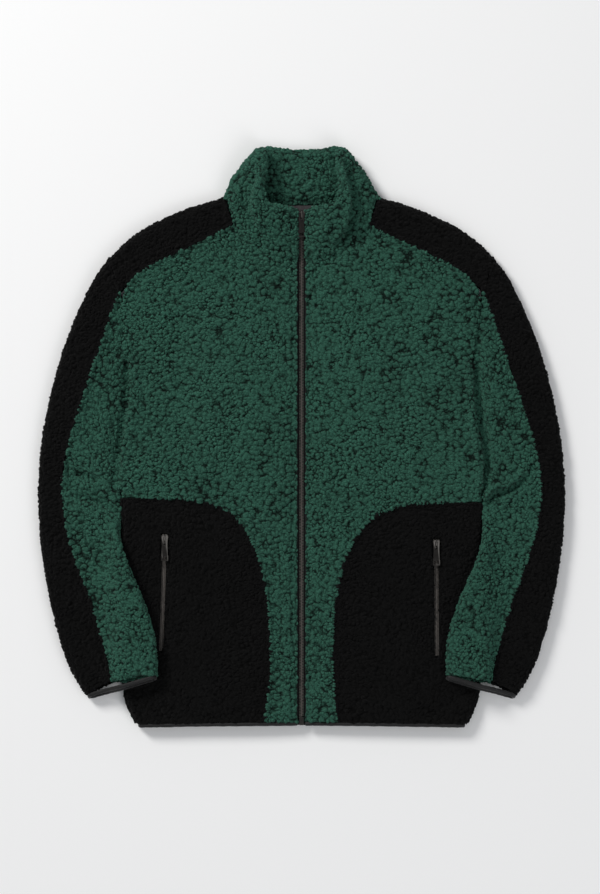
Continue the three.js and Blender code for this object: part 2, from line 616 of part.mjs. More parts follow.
// Collar: two cloths on one middle surface, back to back
function collarRows() {
  const { base, rim } = collarTurn;
  const turn = [-90, -45, 0, 45, 90].map((degrees, i) => {
    const [sin, cos] = [Math.sin(degToRad(degrees)), Math.cos(degToRad(degrees))];
    const up = (end) => THREE.MathUtils.lerp(end.upFrom, end.upTo, i / 4);
    return {
      baseOut: base.out + base.radius * cos,
      baseUp: up(base),
      baseZ: base.z + base.radius * sin,
      rimOut: rim.out + rim.radius * cos,
      rimUp: up(rim),
      rimZ: rim.z + rim.radius * sin,
      thick: FLEECE,
    };
  });
  const half = [...collarBack, ...turn, ...collarFront];
  const flip = (row) => ({ ...row, baseOut: -row.baseOut, rimOut: -row.rimOut });
  return smoothRows([...half.toReversed().map(flip), ...half.slice(1)], COLLAR.stations);
}

function collarWall(way) {
  const rows = collarRows();
  const middle = (n, v) => {
    const row = rows[clamp(n, 0, rows.length - 1)];
    const base = point(row.baseOut, row.baseUp, row.baseZ);
    const p = base.lerp(point(row.rimOut, row.rimUp, row.rimZ), v);
    const side = row.baseOut < 0 ? RIGHT : LEFT;
    p.x += side * COLLAR.bulge[side] * Math.sin(Math.PI * v) * clamp(Math.abs(row.baseOut) / 60 - 0.6, 0, 1);
    p.z += softLines(collarFolds, p.x, p.y) * smooth(v / 0.5) * smooth((p.z - 15) / 7);
    return p;
  };
  const sections = rows.map((_, n) => {
    const section = { outer: [], inner: [] };
    const place = (v, turned) => {
      const around = middle(n + 1, v).sub(middle(n - 1, v));
      const up = middle(n, Math.min(v + 0.1, 1)).sub(middle(n, Math.min(v + 0.1, 1) - 0.2)).normalize();
      const out = new THREE.Vector3().crossVectors(up, around).normalize().multiplyScalar(way);
      const thick = THREE.MathUtils.lerp(COLLAR.seamThick, rows[n].thick, smooth(v / COLLAR.fullAt));
      const at = (distance, beyond) => {
        const p = middle(n, v).addScaledVector(out, 0.75 * SEAM + distance).addScaledVector(up, beyond);
        p.z = Math.max(p.z, way > 0 ? 0 : SEAM);
        return p;
      };
      section.outer.push(at(thick * Math.cos(turned), thick * Math.sin(turned)));
      section.inner.push(at(0, 0.85 * thick * Math.sin(turned)));
    };
    for (let k = 0; k <= COLLAR.rows; k++) place(k / COLLAR.rows, 0);
    for (let k = 1; k <= COLLAR.rimSteps; k++) place(1, (Math.PI / 2 - 0.08) * (k / COLLAR.rimSteps));
    return section;
  });
  return geometryOf(solidOf(wall(sections)).subtract(besideNeck()));
}

// Everything outside the neckline in plan, which the foot of the collar keeps clear of
function besideNeck() {
  const far = 300;
  const strip = shoulderRows[0];
  const beyond = plan(strip.foldOut + 8, strip.foldUp + 19.6);
  const half = [...neckPoints, plan(strip.seamOut, strip.seamUp), beyond];
  const edge = aside(half, -1.4 * SEAM);
  const outline = [
    ...edge.toReversed().map((p) => mirrored(RIGHT, p)),
    ...edge,
    plan(far, edge.at(-1).y),
    plan(far, 150),
    plan(-far, 150),
    plan(-far, edge.at(-1).y),
  ];
  return upright(new THREE.Shape(outline));
}

// Lining at the back of the neck, seen through the neck opening
function neckFacing() {
  const rows = [
    { out: 30, up: 262 },
    { out: 58, up: 272 },
    { out: 68, up: 290 },
    { out: 73, up: 308 },
  ];
  const low = FLEECE + SEAM;
  const top = low + 0.9;
  const sections = rows.map((row, i) => {
    const sag = i === rows.length - 1 ? BACK_NECK.centre - 0.5 - row.up : 0;
    const ends = [plan(-row.out, row.up), plan(row.out, row.up)];
    const path = new THREE.QuadraticBezierCurve(ends[0], plan(0, row.up + 2 * sag), ends[1]);
    const points = path.getSpacedPoints(8);
    return {
      outer: points.map((p) => point(p.x, p.y, top)),
      inner: points.map((p) => point(p.x, p.y, low)),
    };
  });
  return wall(sections);
}

// A strip swept along a path, its section an oval across two directions
function strip(path, acrossAt, halfWide, halfThick, corners = 8, closed = false) {
  const sections = path.map((centre, i) => {
    const before = path[closed ? (i + path.length - 1) % path.length : Math.max(i - 1, 0)];
    const after = path[closed ? (i + 1) % path.length : Math.min(i + 1, path.length - 1)];
    const along = after.clone().sub(before).normalize();
    const across = acrossAt(centre, i);
    const normal = new THREE.Vector3().crossVectors(along, across).normalize();
    const at = (angle) => {
      const round = (t) => Math.sign(t) * Math.abs(t) ** 0.6;
      const p = centre.clone().addScaledVector(across, halfWide * round(Math.cos(angle)));
      return p.addScaledVector(normal, halfThick * round(Math.sin(angle)));
    };
    const ring = Array.from({ length: corners }, (_, k) => at(((k + 0.5) / corners) * 2 * Math.PI));
    return { outer: ring.slice(0, corners / 2), inner: ring.slice(corners / 2).toReversed() };
  });
  return wall(sections, closed);
}

// Binding round the hem: along the front from the zip, round the side and along the back, to the front again
const BINDING = { halfWide: 2.9, halfThick: 3, underLow: 0.15 };
function hemBinding() {
  const top = BODY_THICK - BINDING.halfThick - 0.4;
  const low = BINDING.halfThick + BINDING.underLow;
  const radius = (top - low) / 2;
  const turnOut = 219 - radius;
  const upAt = (out) => hemUpAt(out) - BINDING.halfWide - 2 * SEAM;
  const path = [];
  const put = (out, z) => path.push(point(out, upAt(out), z));
  const fronts = [turnOut, 180, 120, 60, ZIP_GAP];
  const zAt = (out) => top - (out < 20 ? 2.2 : 0) * smooth((20 - out) / 15);
  fronts.toReversed().forEach((out) => put(-out, zAt(out)));
  for (let k = 1; k < 5; k++) {
    const angle = (Math.PI * k) / 5;
    put(-turnOut - radius * Math.sin(angle), (top + low) / 2 + radius * Math.cos(angle));
  }
  for (let k = 0; k <= 8; k++) put(-turnOut + (2 * turnOut * k) / 8, low);
  for (let k = 1; k < 5; k++) {
    const angle = (Math.PI * k) / 5;
    put(turnOut + radius * Math.sin(angle), (top + low) / 2 - radius * Math.cos(angle));
  }
  fronts.forEach((out) => put(out, zAt(out)));
  return strip(path, () => point(0, 1, 0), BINDING.halfWide, BINDING.halfThick);
}

// Binding round the cuff: a closed ring just past the end of the sleeve
function cuffBinding(side) {
  const end = sleeveRows.at(-1);
  const way = cuffWay(side);
  const inner = mirrored(side, plan(end.innerOut, end.innerUp));
  const outer = mirrored(side, plan(end.foldOut, end.foldUp));
  const line = new THREE.LineCurve(inner, outer);
  const length = line.getLength();
  const { halfWide } = BINDING;
  const halfThick = 2.4;
  const turn = ROLL - halfThick - 1;
  const path = [];
  const put = (along, share) => {
    const p = line.getPointAt(clamp(along / length, 0, 1));
    const ref = line.getPointAt(clamp(along / length, ROLL / length, 1 - ROLL / length));
    const low = sleeveUnder(ref.x, ref.y) + halfThick + 0.1;
    const top = sleeveOver(ref.x, ref.y) - halfThick - 0.6;
    p.addScaledVector(way, halfWide + SEAM + (CUFF_LEAD * (1 - share)) / 2);
    path.push(point(p.x, p.y, (low + top) / 2 + ((top - low) / 2) * share));
  };
  const flats = 6;
  const from = ROLL;
  const to = length - ROLL;
  for (let k = 0; k <= flats; k++) put(from + ((to - from) * k) / flats, 1);
  for (let k = 1; k < 5; k++) {
    const angle = (Math.PI * k) / 5;
    put(to + turn * Math.sin(angle), Math.cos(angle));
  }
  for (let k = 0; k <= flats; k++) put(to - ((to - from) * k) / flats, -1);
  for (let k = 1; k < 5; k++) {
    const angle = (Math.PI * k) / 5;
    put(from - turn * Math.sin(angle), -Math.cos(angle));
  }
  return strip(path, () => point(way.x, way.y, 0), halfWide, halfThick, 8, true);
}

// Main zip

// Top of the chain along the zip: level on the body, rising with the collar
const zipRise = [
  { up: -384, top: CHAIN.top },
  { up: -120, top: CHAIN.top },
  { up: 120, top: CHAIN.top },
  { up: 230, top: CHAIN.top },
  { up: 237.5, top: 11.7 },
  { up: 244, top: 12.4 },
  { up: 262, top: 15.4 },
  { up: 281, top: 18.6 },
  { up: 290, top: 20 },
  { up: 300, top: 21.6 },
];
const zipTopAt = (up) => {
  const passed = zipRise.filter((row) => row.up <= up).length;
  const [a, b] = zipRise.slice(clamp(passed - 1, 0, zipRise.length - 2));
  return THREE.MathUtils.lerp(a.top, b.top, (up - a.up) / (b.up - a.up));
};
const SLIDER_UP = 297.5; // middle of the main slider

function zipTape(side) {
  const sections = [...zipRise, { up: 305.5, top: zipTopAt(305.5) }].map(({ up }) => {
    const reach = up > 235 ? TAPE.inGroove : TAPE.reach;
    const top = zipTopAt(up) - (up < 285 ? TAPE.below : CHAIN.thick + SLIDER.under + 2 * SEAM);
    const row = (z) => [CHAIN.half + SEAM, reach].map((out) => point(side * out, up, z));
    return { outer: row(top), inner: row(top - TAPE.thick) };
  });
  return wall(sections);
}

function zipChain() {
  const end = SLIDER_UP - SLIDER.long / 2 - 0.5;
  const ups = [...zipRise.map((row) => row.up).filter((up) => up > -384 && up < end), end];
  const sections = [-379.5, ...ups].map((up) => {
    const top = zipTopAt(up);
    const row = (z) => [-CHAIN.half, CHAIN.half].map((x) => point(x, up, z));
    return { outer: row(top), inner: row(top - CHAIN.thick) };
  });
  return wall(sections);
}

// Box at the foot of the zip, which holds the pin
function zipBox() {
  const shape = roundedOutline(2 * CHAIN.half, 11, 1.2);
  return extruded(shape, CHAIN.thick + 0.8, 3).translate(0, -385.5, CHAIN.top - CHAIN.thick - 0.4);
}

// A rectangle with round corners about the middle
function roundedOutline(wide, long, radius, Kind = THREE.Shape) {
  const [w, l] = [wide / 2, long / 2];
  const shape = new Kind();
  shape.moveTo(-w + radius, -l);
  shape.lineTo(w - radius, -l);
  shape.quadraticCurveTo(w, -l, w, -l + radius);
  shape.lineTo(w, l - radius);
  shape.quadraticCurveTo(w, l, w - radius, l);
  shape.lineTo(-w + radius, l);
  shape.quadraticCurveTo(-w, l, -w, l - radius);
  shape.lineTo(-w, -l + radius);
  shape.quadraticCurveTo(-w, -l, -w + radius, -l);
  return shape;
}

// Slider: a tapered body with a bail on top. Its own origin is the pivot of the pull tab.
const PIVOT = { fromTop: 1.8, fromMiddle: 3.2 }; // above the slider's top face, and towards its wide end
function sliderBody() {
  const { long, wide, narrow, over, under } = SLIDER;
  const shape = new THREE.Shape();
  shape.moveTo(-narrow, -long / 2);
  shape.lineTo(narrow, -long / 2);
  shape.lineTo(wide, long / 2 - 4);
  shape.quadraticCurveTo(wide, long / 2, wide - 2.4, long / 2);
  shape.lineTo(-wide + 2.4, long / 2);
  shape.quadraticCurveTo(-wide, long / 2, -wide, long / 2 - 4);
  shape.lineTo(-narrow, -long / 2);
  const depth = CHAIN.thick + over + under;
  const body = new THREE.ExtrudeGeometry(shape, { depth, bevelEnabled: false, curveSegments: 4 });
  body.translate(0, -PIVOT.fromMiddle, -PIVOT.fromTop - depth);
  return geometryOf(solidOf(body).add(solidOf(bail())));
}

// Bail: a rib with a round eye for the tab's bar and a leg along the slider
function bail() {
  const { half, hole, ring, leg } = BAIL;
  const profile = new THREE.Shape();
  const foot = -PIVOT.fromTop - 0.5;
  profile.moveTo(ring, foot);
  profile.lineTo(ring, 0);
  profile.absarc(0, 0, ring, 0, Math.PI / 2, false);
  profile.lineTo(-leg + 5.5, ring - 1.2);
  profile.quadraticCurveTo(-leg + 2.5, ring - 1.8, -leg + 1.4, foot);
  profile.lineTo(ring, foot);
  const eye = new THREE.Path();
  eye.absarc(0, 0, hole, 0, 2 * Math.PI, true);
  profile.holes.push(eye);
  const standing = new THREE.Matrix4().makeBasis(point(0, 1, 0), point(0, 0, 1), point(1, 0, 0));
  return extruded(profile, 2 * half, 6).translate(0, 0, -half).applyMatrix4(standing);
}

// Pull tab: a bar in the bail's eye, a slot that straddles the bail, and a window at its end
function pullTab() {
  const { long, top, end, thick, bar, slotHalf, slotEnd } = PULL;
  const shape = new THREE.Shape();
  shape.moveTo(-top + 1, bar);
  shape.lineTo(top - 1, bar);
  shape.lineTo(top, bar - 1.2);
  shape.lineTo(top - 0.5, -slotEnd - 1);
  shape.lineTo(end - 0.6, -long + 9);
  shape.lineTo(end, -long + 6);
  shape.lineTo(end, -long + 1.4);
  shape.quadraticCurveTo(end, -long, end - 1.4, -long);
  shape.lineTo(-end + 1.4, -long);
  shape.quadraticCurveTo(-end, -long, -end, -long + 1.4);
  shape.lineTo(-end, -long + 6);
  shape.lineTo(-end + 0.6, -long + 9);
  shape.lineTo(-top + 0.5, -slotEnd - 1);
  shape.lineTo(-top, bar - 1.2);
  const slot = new THREE.Path();
  slot.moveTo(-slotHalf, -bar);
  slot.lineTo(-slotHalf, -slotEnd + 1);
  slot.quadraticCurveTo(-slotHalf, -slotEnd, 0, -slotEnd);
  slot.quadraticCurveTo(slotHalf, -slotEnd, slotHalf, -slotEnd + 1);
  slot.lineTo(slotHalf, -bar);
  const around = roundedOutline(5.4, 3.6, 0.6).getPoints(3).slice(1);
  const window = new THREE.Path(around.map((p) => plan(p.x, p.y - long + 4.2)));
  shape.holes.push(slot, window);
  return extruded(shape, thick, 4).translate(0, 0, -thick / 2);
}

// A slider and its pull tab, where the zip runs at a slope and the chain's top is at a height
function placeSlider(name, { x, up, chainTop, slope = 0, drop = PULL.drop }) {
  const stand = new THREE.Group();
  stand.position.set(x, up + PIVOT.fromMiddle, chainTop + SLIDER.over + PIVOT.fromTop);
  stand.rotation.x = slope;
  jacket.add(stand);
  addPiece(name + "_slider", sliderBody(), materials.metal, stand);
  const tab = addPiece(name + "_pull", pullTab(), materials.metal, stand);
  tab.rotation.x = degToRad(drop);
}

// Pocket zips

function pocketZipPieces(word, side) {
  const line = pocketZips[side];
  const top = BODY_THICK - FLEECE - SEAM;
  const lean = (line.toX - line.x) / (line.y - line.toY);
  const at = (down, across, z) => point(line.x + lean * down + across, line.y + 4 - down, z);
  const long = line.y - line.toY + 8;
  const band = (from, to, half, low, high) => {
    const row = (down, z) => [-half, half].map((across) => at(down, across, z));
    const downs = [from, (from + to) / 2, to];
    return wall(downs.map((down) => ({ outer: row(down, high), inner: row(down, low) })));
  };
  addPiece(`pocket_${word}_zip_tape`, band(-5, long + 5, 11, top - TAPE.thick, top), materials.tape);
  const start = 1 + SLIDER.long + 0.5;
  const chain = band(start, long - 3.5, 2.2, top + SEAM, top + SEAM + 1.9);
  addPiece(`pocket_${word}_zip_chain`, chain, materials.chain);
  const middle = 1 + SLIDER.long / 2;
  const centre = at(middle, 0, 0);
  const chainTop = top + SEAM + SLIDER.under + CHAIN.thick;
  placeSlider(`pocket_${word}`, { x: centre.x, up: centre.y, chainTop, drop: PULL.pocketDrop });
}

// All the pieces

addPiece("back", backPanel(), materials.green);
for (const [word, side] of SIDES) {
  addPiece(`front_${word}`, frontPanel(side), materials.green);
  addPiece(`pocket_panel_${word}`, pocketPanel(side), materials.black);
  addPiece(`shoulder_${word}`, shoulderStrip(side), materials.black);
  addPiece(`sleeve_stripe_${word}`, sleeveStripe(side), materials.black);
  addPiece(`under_sleeve_${word}`, underSleeve(side), materials.green);
  addPiece(`cuff_binding_${word}`, cuffBinding(side), materials.binding);
  addPiece(`zip_tape_${word}`, zipTape(side), materials.tape);
  pocketZipPieces(word, side);
}
addPiece("collar_outer", collarWall(1), materials.green);
addPiece("collar_inner", collarWall(-1), materials.green);
addPiece("neck_facing", neckFacing(), materials.lining);
addPiece("hem_binding", hemBinding(), materials.binding);
addPiece("zip_chain", zipChain(), materials.chain);
addPiece("zip_box", zipBox(), materials.metal);
const collarSlope = Math.atan2(zipTopAt(300) - zipTopAt(281), 19);
const pivotTop = zipTopAt(SLIDER_UP + PIVOT.fromMiddle) + 0.1;
placeSlider("zip", { x: 0, up: SLIDER_UP, chainTop: pivotTop, slope: collarSlope });

export default jacket;
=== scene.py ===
# %% [markdown]
# # A curly fleece jacket, laid flat
#
# The jacket lies on its back on a pale floor, zipped up, with its sleeves folded a little over the front. The solids
# that hold its size and its layers are made already. Here each piece of cloth gets its pile, its folds and its
# finish, and the zips get their teeth. Everything is in metres: X to the wearer's left, Y from hem to collar, Z up.

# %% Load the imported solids
import math

import bmesh
import bpy
import numpy as np
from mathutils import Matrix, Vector
from mathutils.bvhtree import BVHTree


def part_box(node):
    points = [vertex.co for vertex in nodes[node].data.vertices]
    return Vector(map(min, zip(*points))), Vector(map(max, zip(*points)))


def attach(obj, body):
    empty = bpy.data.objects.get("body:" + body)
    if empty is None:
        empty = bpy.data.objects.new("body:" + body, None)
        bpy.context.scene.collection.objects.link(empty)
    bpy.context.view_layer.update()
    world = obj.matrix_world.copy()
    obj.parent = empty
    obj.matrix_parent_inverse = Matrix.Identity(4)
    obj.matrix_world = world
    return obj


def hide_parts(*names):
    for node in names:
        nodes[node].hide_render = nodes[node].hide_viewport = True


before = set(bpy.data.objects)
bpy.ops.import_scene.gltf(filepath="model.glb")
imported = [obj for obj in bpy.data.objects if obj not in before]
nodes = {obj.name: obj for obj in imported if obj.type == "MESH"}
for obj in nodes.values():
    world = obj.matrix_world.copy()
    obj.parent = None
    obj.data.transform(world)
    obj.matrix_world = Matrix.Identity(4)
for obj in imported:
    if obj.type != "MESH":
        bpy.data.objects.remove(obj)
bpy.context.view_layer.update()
MM = 0.001
SIDES = {"right": -1, "left": 1}

# %% [markdown]
# ## Camera
#
# A jacket is laid out and shot from straight above, so the camera looks down. A long lens from three metres up keeps
# the sleeves from leaning outwards, as a short lens close by would. The frame is as tall as 894 rows of 1.35 mm each.

# %% Camera
PHOTO_HEIGHT = 894
MM_PER_PIXEL = 1.35
VIEW_CENTRE = (-2.0 * MM, -14.9 * MM)
FRONT_LEVEL = 16 * MM
CAMERA_UP = 3.0
SENSOR = 24.0

camera_data = bpy.data.cameras.new("overhead_camera")
camera_data.sensor_fit = "VERTICAL"
camera_data.sensor_height = SENSOR
camera_data.lens = SENSOR * (CAMERA_UP - FRONT_LEVEL) / (PHOTO_HEIGHT * MM_PER_PIXEL * MM)
camera = bpy.data.objects.new("overhead_camera", camera_data)
camera.location = (*VIEW_CENTRE, CAMERA_UP)
bpy.context.scene.collection.objects.link(camera)
bpy.context.scene.camera = camera
print("lens:", round(camera_data.lens, 1), "mm")

# %% [markdown]
# ## Floor and light
#
# The backdrop is a plain pale sheet, a little brighter at the upper left. One big soft lamp stands there and a weaker
# one fills in from the other side, so the pile is lit across its lumps and the shadow beside the jacket stays faint.

# %% Floor and lamps
def plain_material(name, color, roughness):
    material = bpy.data.materials.new(name)
    material.use_nodes = True
    shader = material.node_tree.nodes["Principled BSDF"]
    shader.inputs["Base Color"].default_value = (*color, 1)
    shader.inputs["Roughness"].default_value = roughness
    return material


def lamp(name, place, aim, size, watts, color=(1, 1, 1)):
    data = bpy.data.lights.new(name, "AREA")
    data.shape = "DISK"
    data.size = size
    data.energy = watts
    data.color = color
    found = bpy.data.objects.new(name, data)
    found.location = place
    found.rotation_euler = (Vector(aim) - Vector(place)).to_track_quat("-Z", "Y").to_euler()
    bpy.context.scene.collection.objects.link(found)
    return found


floor_mesh = bpy.data.meshes.new("floor")
FLOOR_HALF = 6
corners = [(x * FLOOR_HALF, y * FLOOR_HALF, 0) for x, y in ((-1, -1), (1, -1), (1, 1), (-1, 1))]
floor_mesh.from_pydata(corners, [], [(0, 1, 2, 3)])
floor = bpy.data.objects.new("floor", floor_mesh)
bpy.context.scene.collection.objects.link(floor)
floor_mesh.materials.append(plain_material("pale_floor", (0.94, 0.94, 0.94), 0.9))

world = bpy.data.worlds.new("studio")
world.use_nodes = True
world.node_tree.nodes["Background"].inputs["Color"].default_value = (0.95, 0.97, 1.0, 1)
world.node_tree.nodes["Background"].inputs["Strength"].default_value = 0.4
bpy.context.scene.world = world
bpy.context.scene.view_settings.view_transform = "Standard"

key_lamp = lamp("key_lamp", (-2.9, 2.9, 2.7), (0, 0, 0), 1.6, 182, (1.0, 0.99, 0.97))
fill_lamp = lamp("fill_lamp", (2.0, -2.2, 2.6), (0.2, -0.3, 0), 2.4, 30)
print("lamps:", key_lamp.data.energy, fill_lamp.data.energy)

# %% [markdown]
# ## Rounding the cloth
#
# The solids are cut from flat facets some 20 mm across. A subdivision surface rounds them as thick fleece is round.
# It works best on four-sided faces, so pairs of triangles are joined first. Sewn pieces have to meet without a gap
# between them, so the sharp edges of a cut are creased, and the rounding leaves those where they are.

# %% Rounded copies of the solids
CUT_ANGLE = math.radians(62)
CUT_CREASE = 0.9


def four_sided(node):
    """A copy of a solid's mesh with shared corners, mostly four-sided faces and creased cut edges."""
    shape = bmesh.new()
    shape.from_mesh(nodes[node].data)
    bmesh.ops.remove_doubles(shape, verts=shape.verts, dist=0.02 * MM)
    bmesh.ops.join_triangles(
        shape,
        faces=shape.faces,
        angle_face_threshold=math.radians(60),
        angle_shape_threshold=math.radians(75),
    )
    crease = shape.edges.layers.float.new("crease_edge")
    for edge in shape.edges:
        if edge.is_manifold and edge.calc_face_angle() > CUT_ANGLE:
            edge[crease] = CUT_CREASE
    mesh = bpy.data.meshes.new(node + "_form")
    shape.to_mesh(mesh)
    shape.free()
    return mesh


def applied(mesh, *make_modifiers):
    """The mesh after some modifiers, each made by a function that is given the object."""
    thing = bpy.data.objects.new(mesh.name, mesh)
    bpy.context.scene.collection.objects.link(thing)
    for make in make_modifiers:
        make(thing)
    bpy.context.view_layer.update()
    depsgraph = bpy.context.evaluated_depsgraph_get()
    result = bpy.data.meshes.new_from_object(thing.evaluated_get(depsgraph))
    bpy.data.objects.remove(thing)
    return result


def arrays_of(mesh):
    """Corner places, and for each face its middle and its normal."""
    places = np.empty(len(mesh.vertices) * 3)
    mesh.vertices.foreach_get("co", places)
    middles = np.empty(len(mesh.polygons) * 3)
    mesh.polygons.foreach_get("center", middles)
    normals = np.empty(len(mesh.polygons) * 3)
    mesh.polygons.foreach_get("normal", normals)
    return places.reshape(-1, 3), middles.reshape(-1, 3), normals.reshape(-1, 3)


def subdivision(levels):
    def make(thing):
        rounding = thing.modifiers.new("rounding", "SUBSURF")
        rounding.levels = levels
        rounding.render_levels = levels
        rounding.boundary_smooth = "PRESERVE_CORNERS"

    return make


SIDE_NODES = ("front", "pocket_panel", "shoulder", "sleeve_stripe", "under_sleeve")
FLEECE_NODES = ["back", "collar_outer", "collar_inner"]
FLEECE_NODES += [f"{word}_{side}" for word in SIDE_NODES for side in SIDES]
SMOOTH_NODES = ["hem_binding", "cuff_binding_right", "cuff_binding_left", "neck_facing"]
forms = {node: applied(four_sided(node), subdivision(2)) for node in FLEECE_NODES + SMOOTH_NODES}
print("rounded:", {node: len(mesh.polygons) for node, mesh in forms.items()})

# %% [markdown]
# ## How the cloth was pushed
#
# The front bulges out over the armhole on both sides, where hands pushed the body flat. So all the pieces there are
# moved sideways together, by an amount that fades away from a middle place, and the seams stay closed. Below the
# armpit each sleeve alone is pressed against the body, as its own weight does, and so are the corners of the collar.

# %% Move the cloth sideways near the armpits
# pieces, x, y, reach across, reach along, shift in x, all in mm
PUSHES = [
    ("", -238, -8, 22, 40, -6.5),
    ("", 238, -18, 22, 40, 7.5),
    ("under_sleeve_right", -243, -97, 16, 26, 3.6),
    ("under_sleeve_left", 246, -98, 16, 26, -3.6),
    ("shoulder_right", -103, 316, 9, 9, 1.8),
    ("shoulder_left", 102, 316, 9, 9, -1.8),
]


def push(node, mesh):
    places, _, _ = arrays_of(mesh)
    moved = np.zeros(len(places))
    for word, x, y, across, along, shift in PUSHES:
        if not node.startswith(word):
            continue
        away = ((places[:, 0] / MM - x) / across) ** 2 + ((places[:, 1] / MM - y) / along) ** 2
        moved += shift * MM * np.exp(-away)
    places[:, 0] += moved
    mesh.vertices.foreach_set("co", places.ravel())
    return np.abs(moved).max()


print("pushed in mm:", round(max(push(node, mesh) for node, mesh in forms.items()) / MM, 1))

# %% [markdown]
# ## What can be seen
#
# Two cloths that lie on each other hide their inner faces, and pile is only worth its triangles where it shows. So a
# ray goes out from each face of the rounded forms. Where it meets other cloth within a few millimetres, the face is
# hidden and stays smooth. The result is kept on the corners as a number from 0 to 1.

# %% Find the faces that show
HIDDEN_WITHIN = 6 * MM


def tree_of(meshes):
    corners, faces = [], []
    for mesh in meshes:
        start = len(corners)
        corners.extend(tuple(v.co) for v in mesh.vertices)
        faces.extend(tuple(start + i for i in face.vertices) for face in mesh.polygons)
    return BVHTree.FromPolygons(corners, faces)


all_cloth = tree_of(forms.values())


def mark_shown(mesh):
    """Stores on each corner whether a face beside it can be seen."""
    _, middles, normals = arrays_of(mesh)
    shown = np.zeros(len(mesh.vertices))
    for face, middle, normal in zip(mesh.polygons, middles, normals):
        start = Vector(middle + normal * 0.1 * MM)
        if all_cloth.ray_cast(start, Vector(normal), HIDDEN_WITHIN)[0] is None:
            shown[list(face.vertices)] = 1
    layer = mesh.attributes.new("shown", "FLOAT", "POINT")
    layer.data.foreach_set("value", shown)
    return shown.mean()


print("share shown:", {node: round(mark_shown(mesh), 2) for node, mesh in forms.items()})

# %% [markdown]
# ## Where the cloths meet
#
# Two sewn pieces of fleece hide their seam, because the pile of each leans over it. So each corner also keeps a
# number that is 1 where another cloth touches it and 0 from a few millimetres away, and the pile will stand higher
# there and close the line.

# %% Mark the seams
SEAM_WITHIN = 4.5 * MM


def mark_seams(node):
    others = tree_of(mesh for name, mesh in forms.items() if name != node)
    mesh = forms[node]
    shown = np.empty(len(mesh.vertices))
    mesh.attributes["shown"].data.foreach_get("value", shown)
    seam = np.zeros(len(mesh.vertices))
    for vertex in mesh.vertices:
        if shown[vertex.index]:
            away = others.find_nearest(vertex.co, SEAM_WITHIN)[3]
            seam[vertex.index] = 0 if away is None else 1 - away / SEAM_WITHIN
    layer = mesh.attributes.new("seam", "FLOAT", "POINT")
    layer.data.foreach_set("value", seam)
    return seam.mean()


print("share at a seam:", {node: round(mark_seams(node), 2) for node in FLEECE_NODES})

# %% [markdown]
# ## Fine mesh where the pile goes
#
# The knots of the pile are about 5 mm across, so the mesh under them has edges of about 2 mm. Cutting only the
# long edges of the faces that show keeps the rest light, and what faces down is seen less and is cut coarser.

# %% Cut the shown faces finer
FINE = 2.1 * MM
COARSE = 5.0 * MM
FACES_DOWN = -0.3  # faces whose normal points lower than this get the coarse limit
ROUNDS = 6


def refined(mesh):
    """The mesh with the long edges of its shown faces halved until none is longer than its limit."""
    shape = bmesh.new()
    shape.from_mesh(mesh)
    shown = shape.verts.layers.float["shown"]
    for _ in range(ROUNDS):
        shape.normal_update()
        long_edges = []
        for edge in shape.edges:
            one, other = edge.verts
            limit = FINE if min(one.normal.z, other.normal.z) > FACES_DOWN else COARSE
            if edge.calc_length() > limit and min(one[shown], other[shown]) > 0.4:
                long_edges.append(edge)
        if not long_edges:
            break
        bmesh.ops.subdivide_edges(shape, edges=long_edges, cuts=1, use_grid_fill=True)
    bmesh.ops.triangulate(shape, faces=[f for f in shape.faces if len(f.verts) > 4])
    result = bpy.data.meshes.new(mesh.name + "_fine")
    shape.to_mesh(result)
    shape.free()
    return result


fine_forms = {node: refined(forms[node]) for node in FLEECE_NODES}
print("fine faces:", {node: len(mesh.polygons) for node, mesh in fine_forms.items()})

# %% [markdown]
# ## Soft folds
#
# Cloth that is laid out by hand keeps soft rolls and hollows. Each is a line from one place to another, with a width
# and a height in millimetres that fade at its sides and ends: high is a ridge and low, below zero, is a trough. They
# are set after the photograph, uneven as they are there.

# %% Table of folds
# from x, from y, to x, to y, width, height
FRONT_FOLDS = [
    (-12.3, 240, -12.3, -382, 1.5, -1.5),
    (11.6, 240, 11.6, -382, 1.5, -1.5),
    (-222, 100, -229, 22, 7, 2.8),
    (-229, 22, -237, -34, 7, 2.8),
    (-237, -34, -238, -66, 6, 1.6),
    (-214, 205, -207, 110, 10, 1.0),
    (-168, 150, -160, 40, 13, -2.2),
    (-164, 40, -166, -40, 13, -1.6),
    (-132, 120, -126, -30, 16, 1.0),
    (-84, 60, -70, -60, 18, 0.9),
    (-60, 150, -30, 60, 14, -0.8),
    (-200, -20, -150, -34, 9, 1.2),
    (-216, -60, -168, -72, 7, -1.0),
    (-100, -250, -70, -330, 13, 0.9),
    (-160, -300, -100, -320, 12, 0.9),
    (-176, -356, -116, -371, 5, 1.4),
    (-116, -371, -56, -352, 5, 1.1),
    (-215, -340, -190, -378, 6, -1.4),
    (224, 96, 231, 8, 5.5, 4.4),
    (231, 8, 240, -34, 5.5, 4.8),
    (240, -34, 241, -68, 5, 3.6),
    (226, 160, 218, 90, 7, 1.4),
    (208, 80, 200, -30, 13, -1.3),
    (168, 120, 158, 10, 16, 0.9),
    (112, 190, 60, 130, 14, -1.0),
    (46, 244, 22, 226, 4, -2.6),
    (22, 226, 13, 210, 4, -2.0),
    (60, 40, 110, 70, 16, 0.8),
    (196, -10, 130, 16, 10, 1.2),
    (206, -58, 150, -66, 8, -0.8),
    (120, -210, 150, -300, 14, 0.9),
    (84, -356, 140, -369, 5, 1.3),
    (140, -369, 200, -346, 5, 1.5),
    (176, -376, 226, -344, 6, -1.5),
]
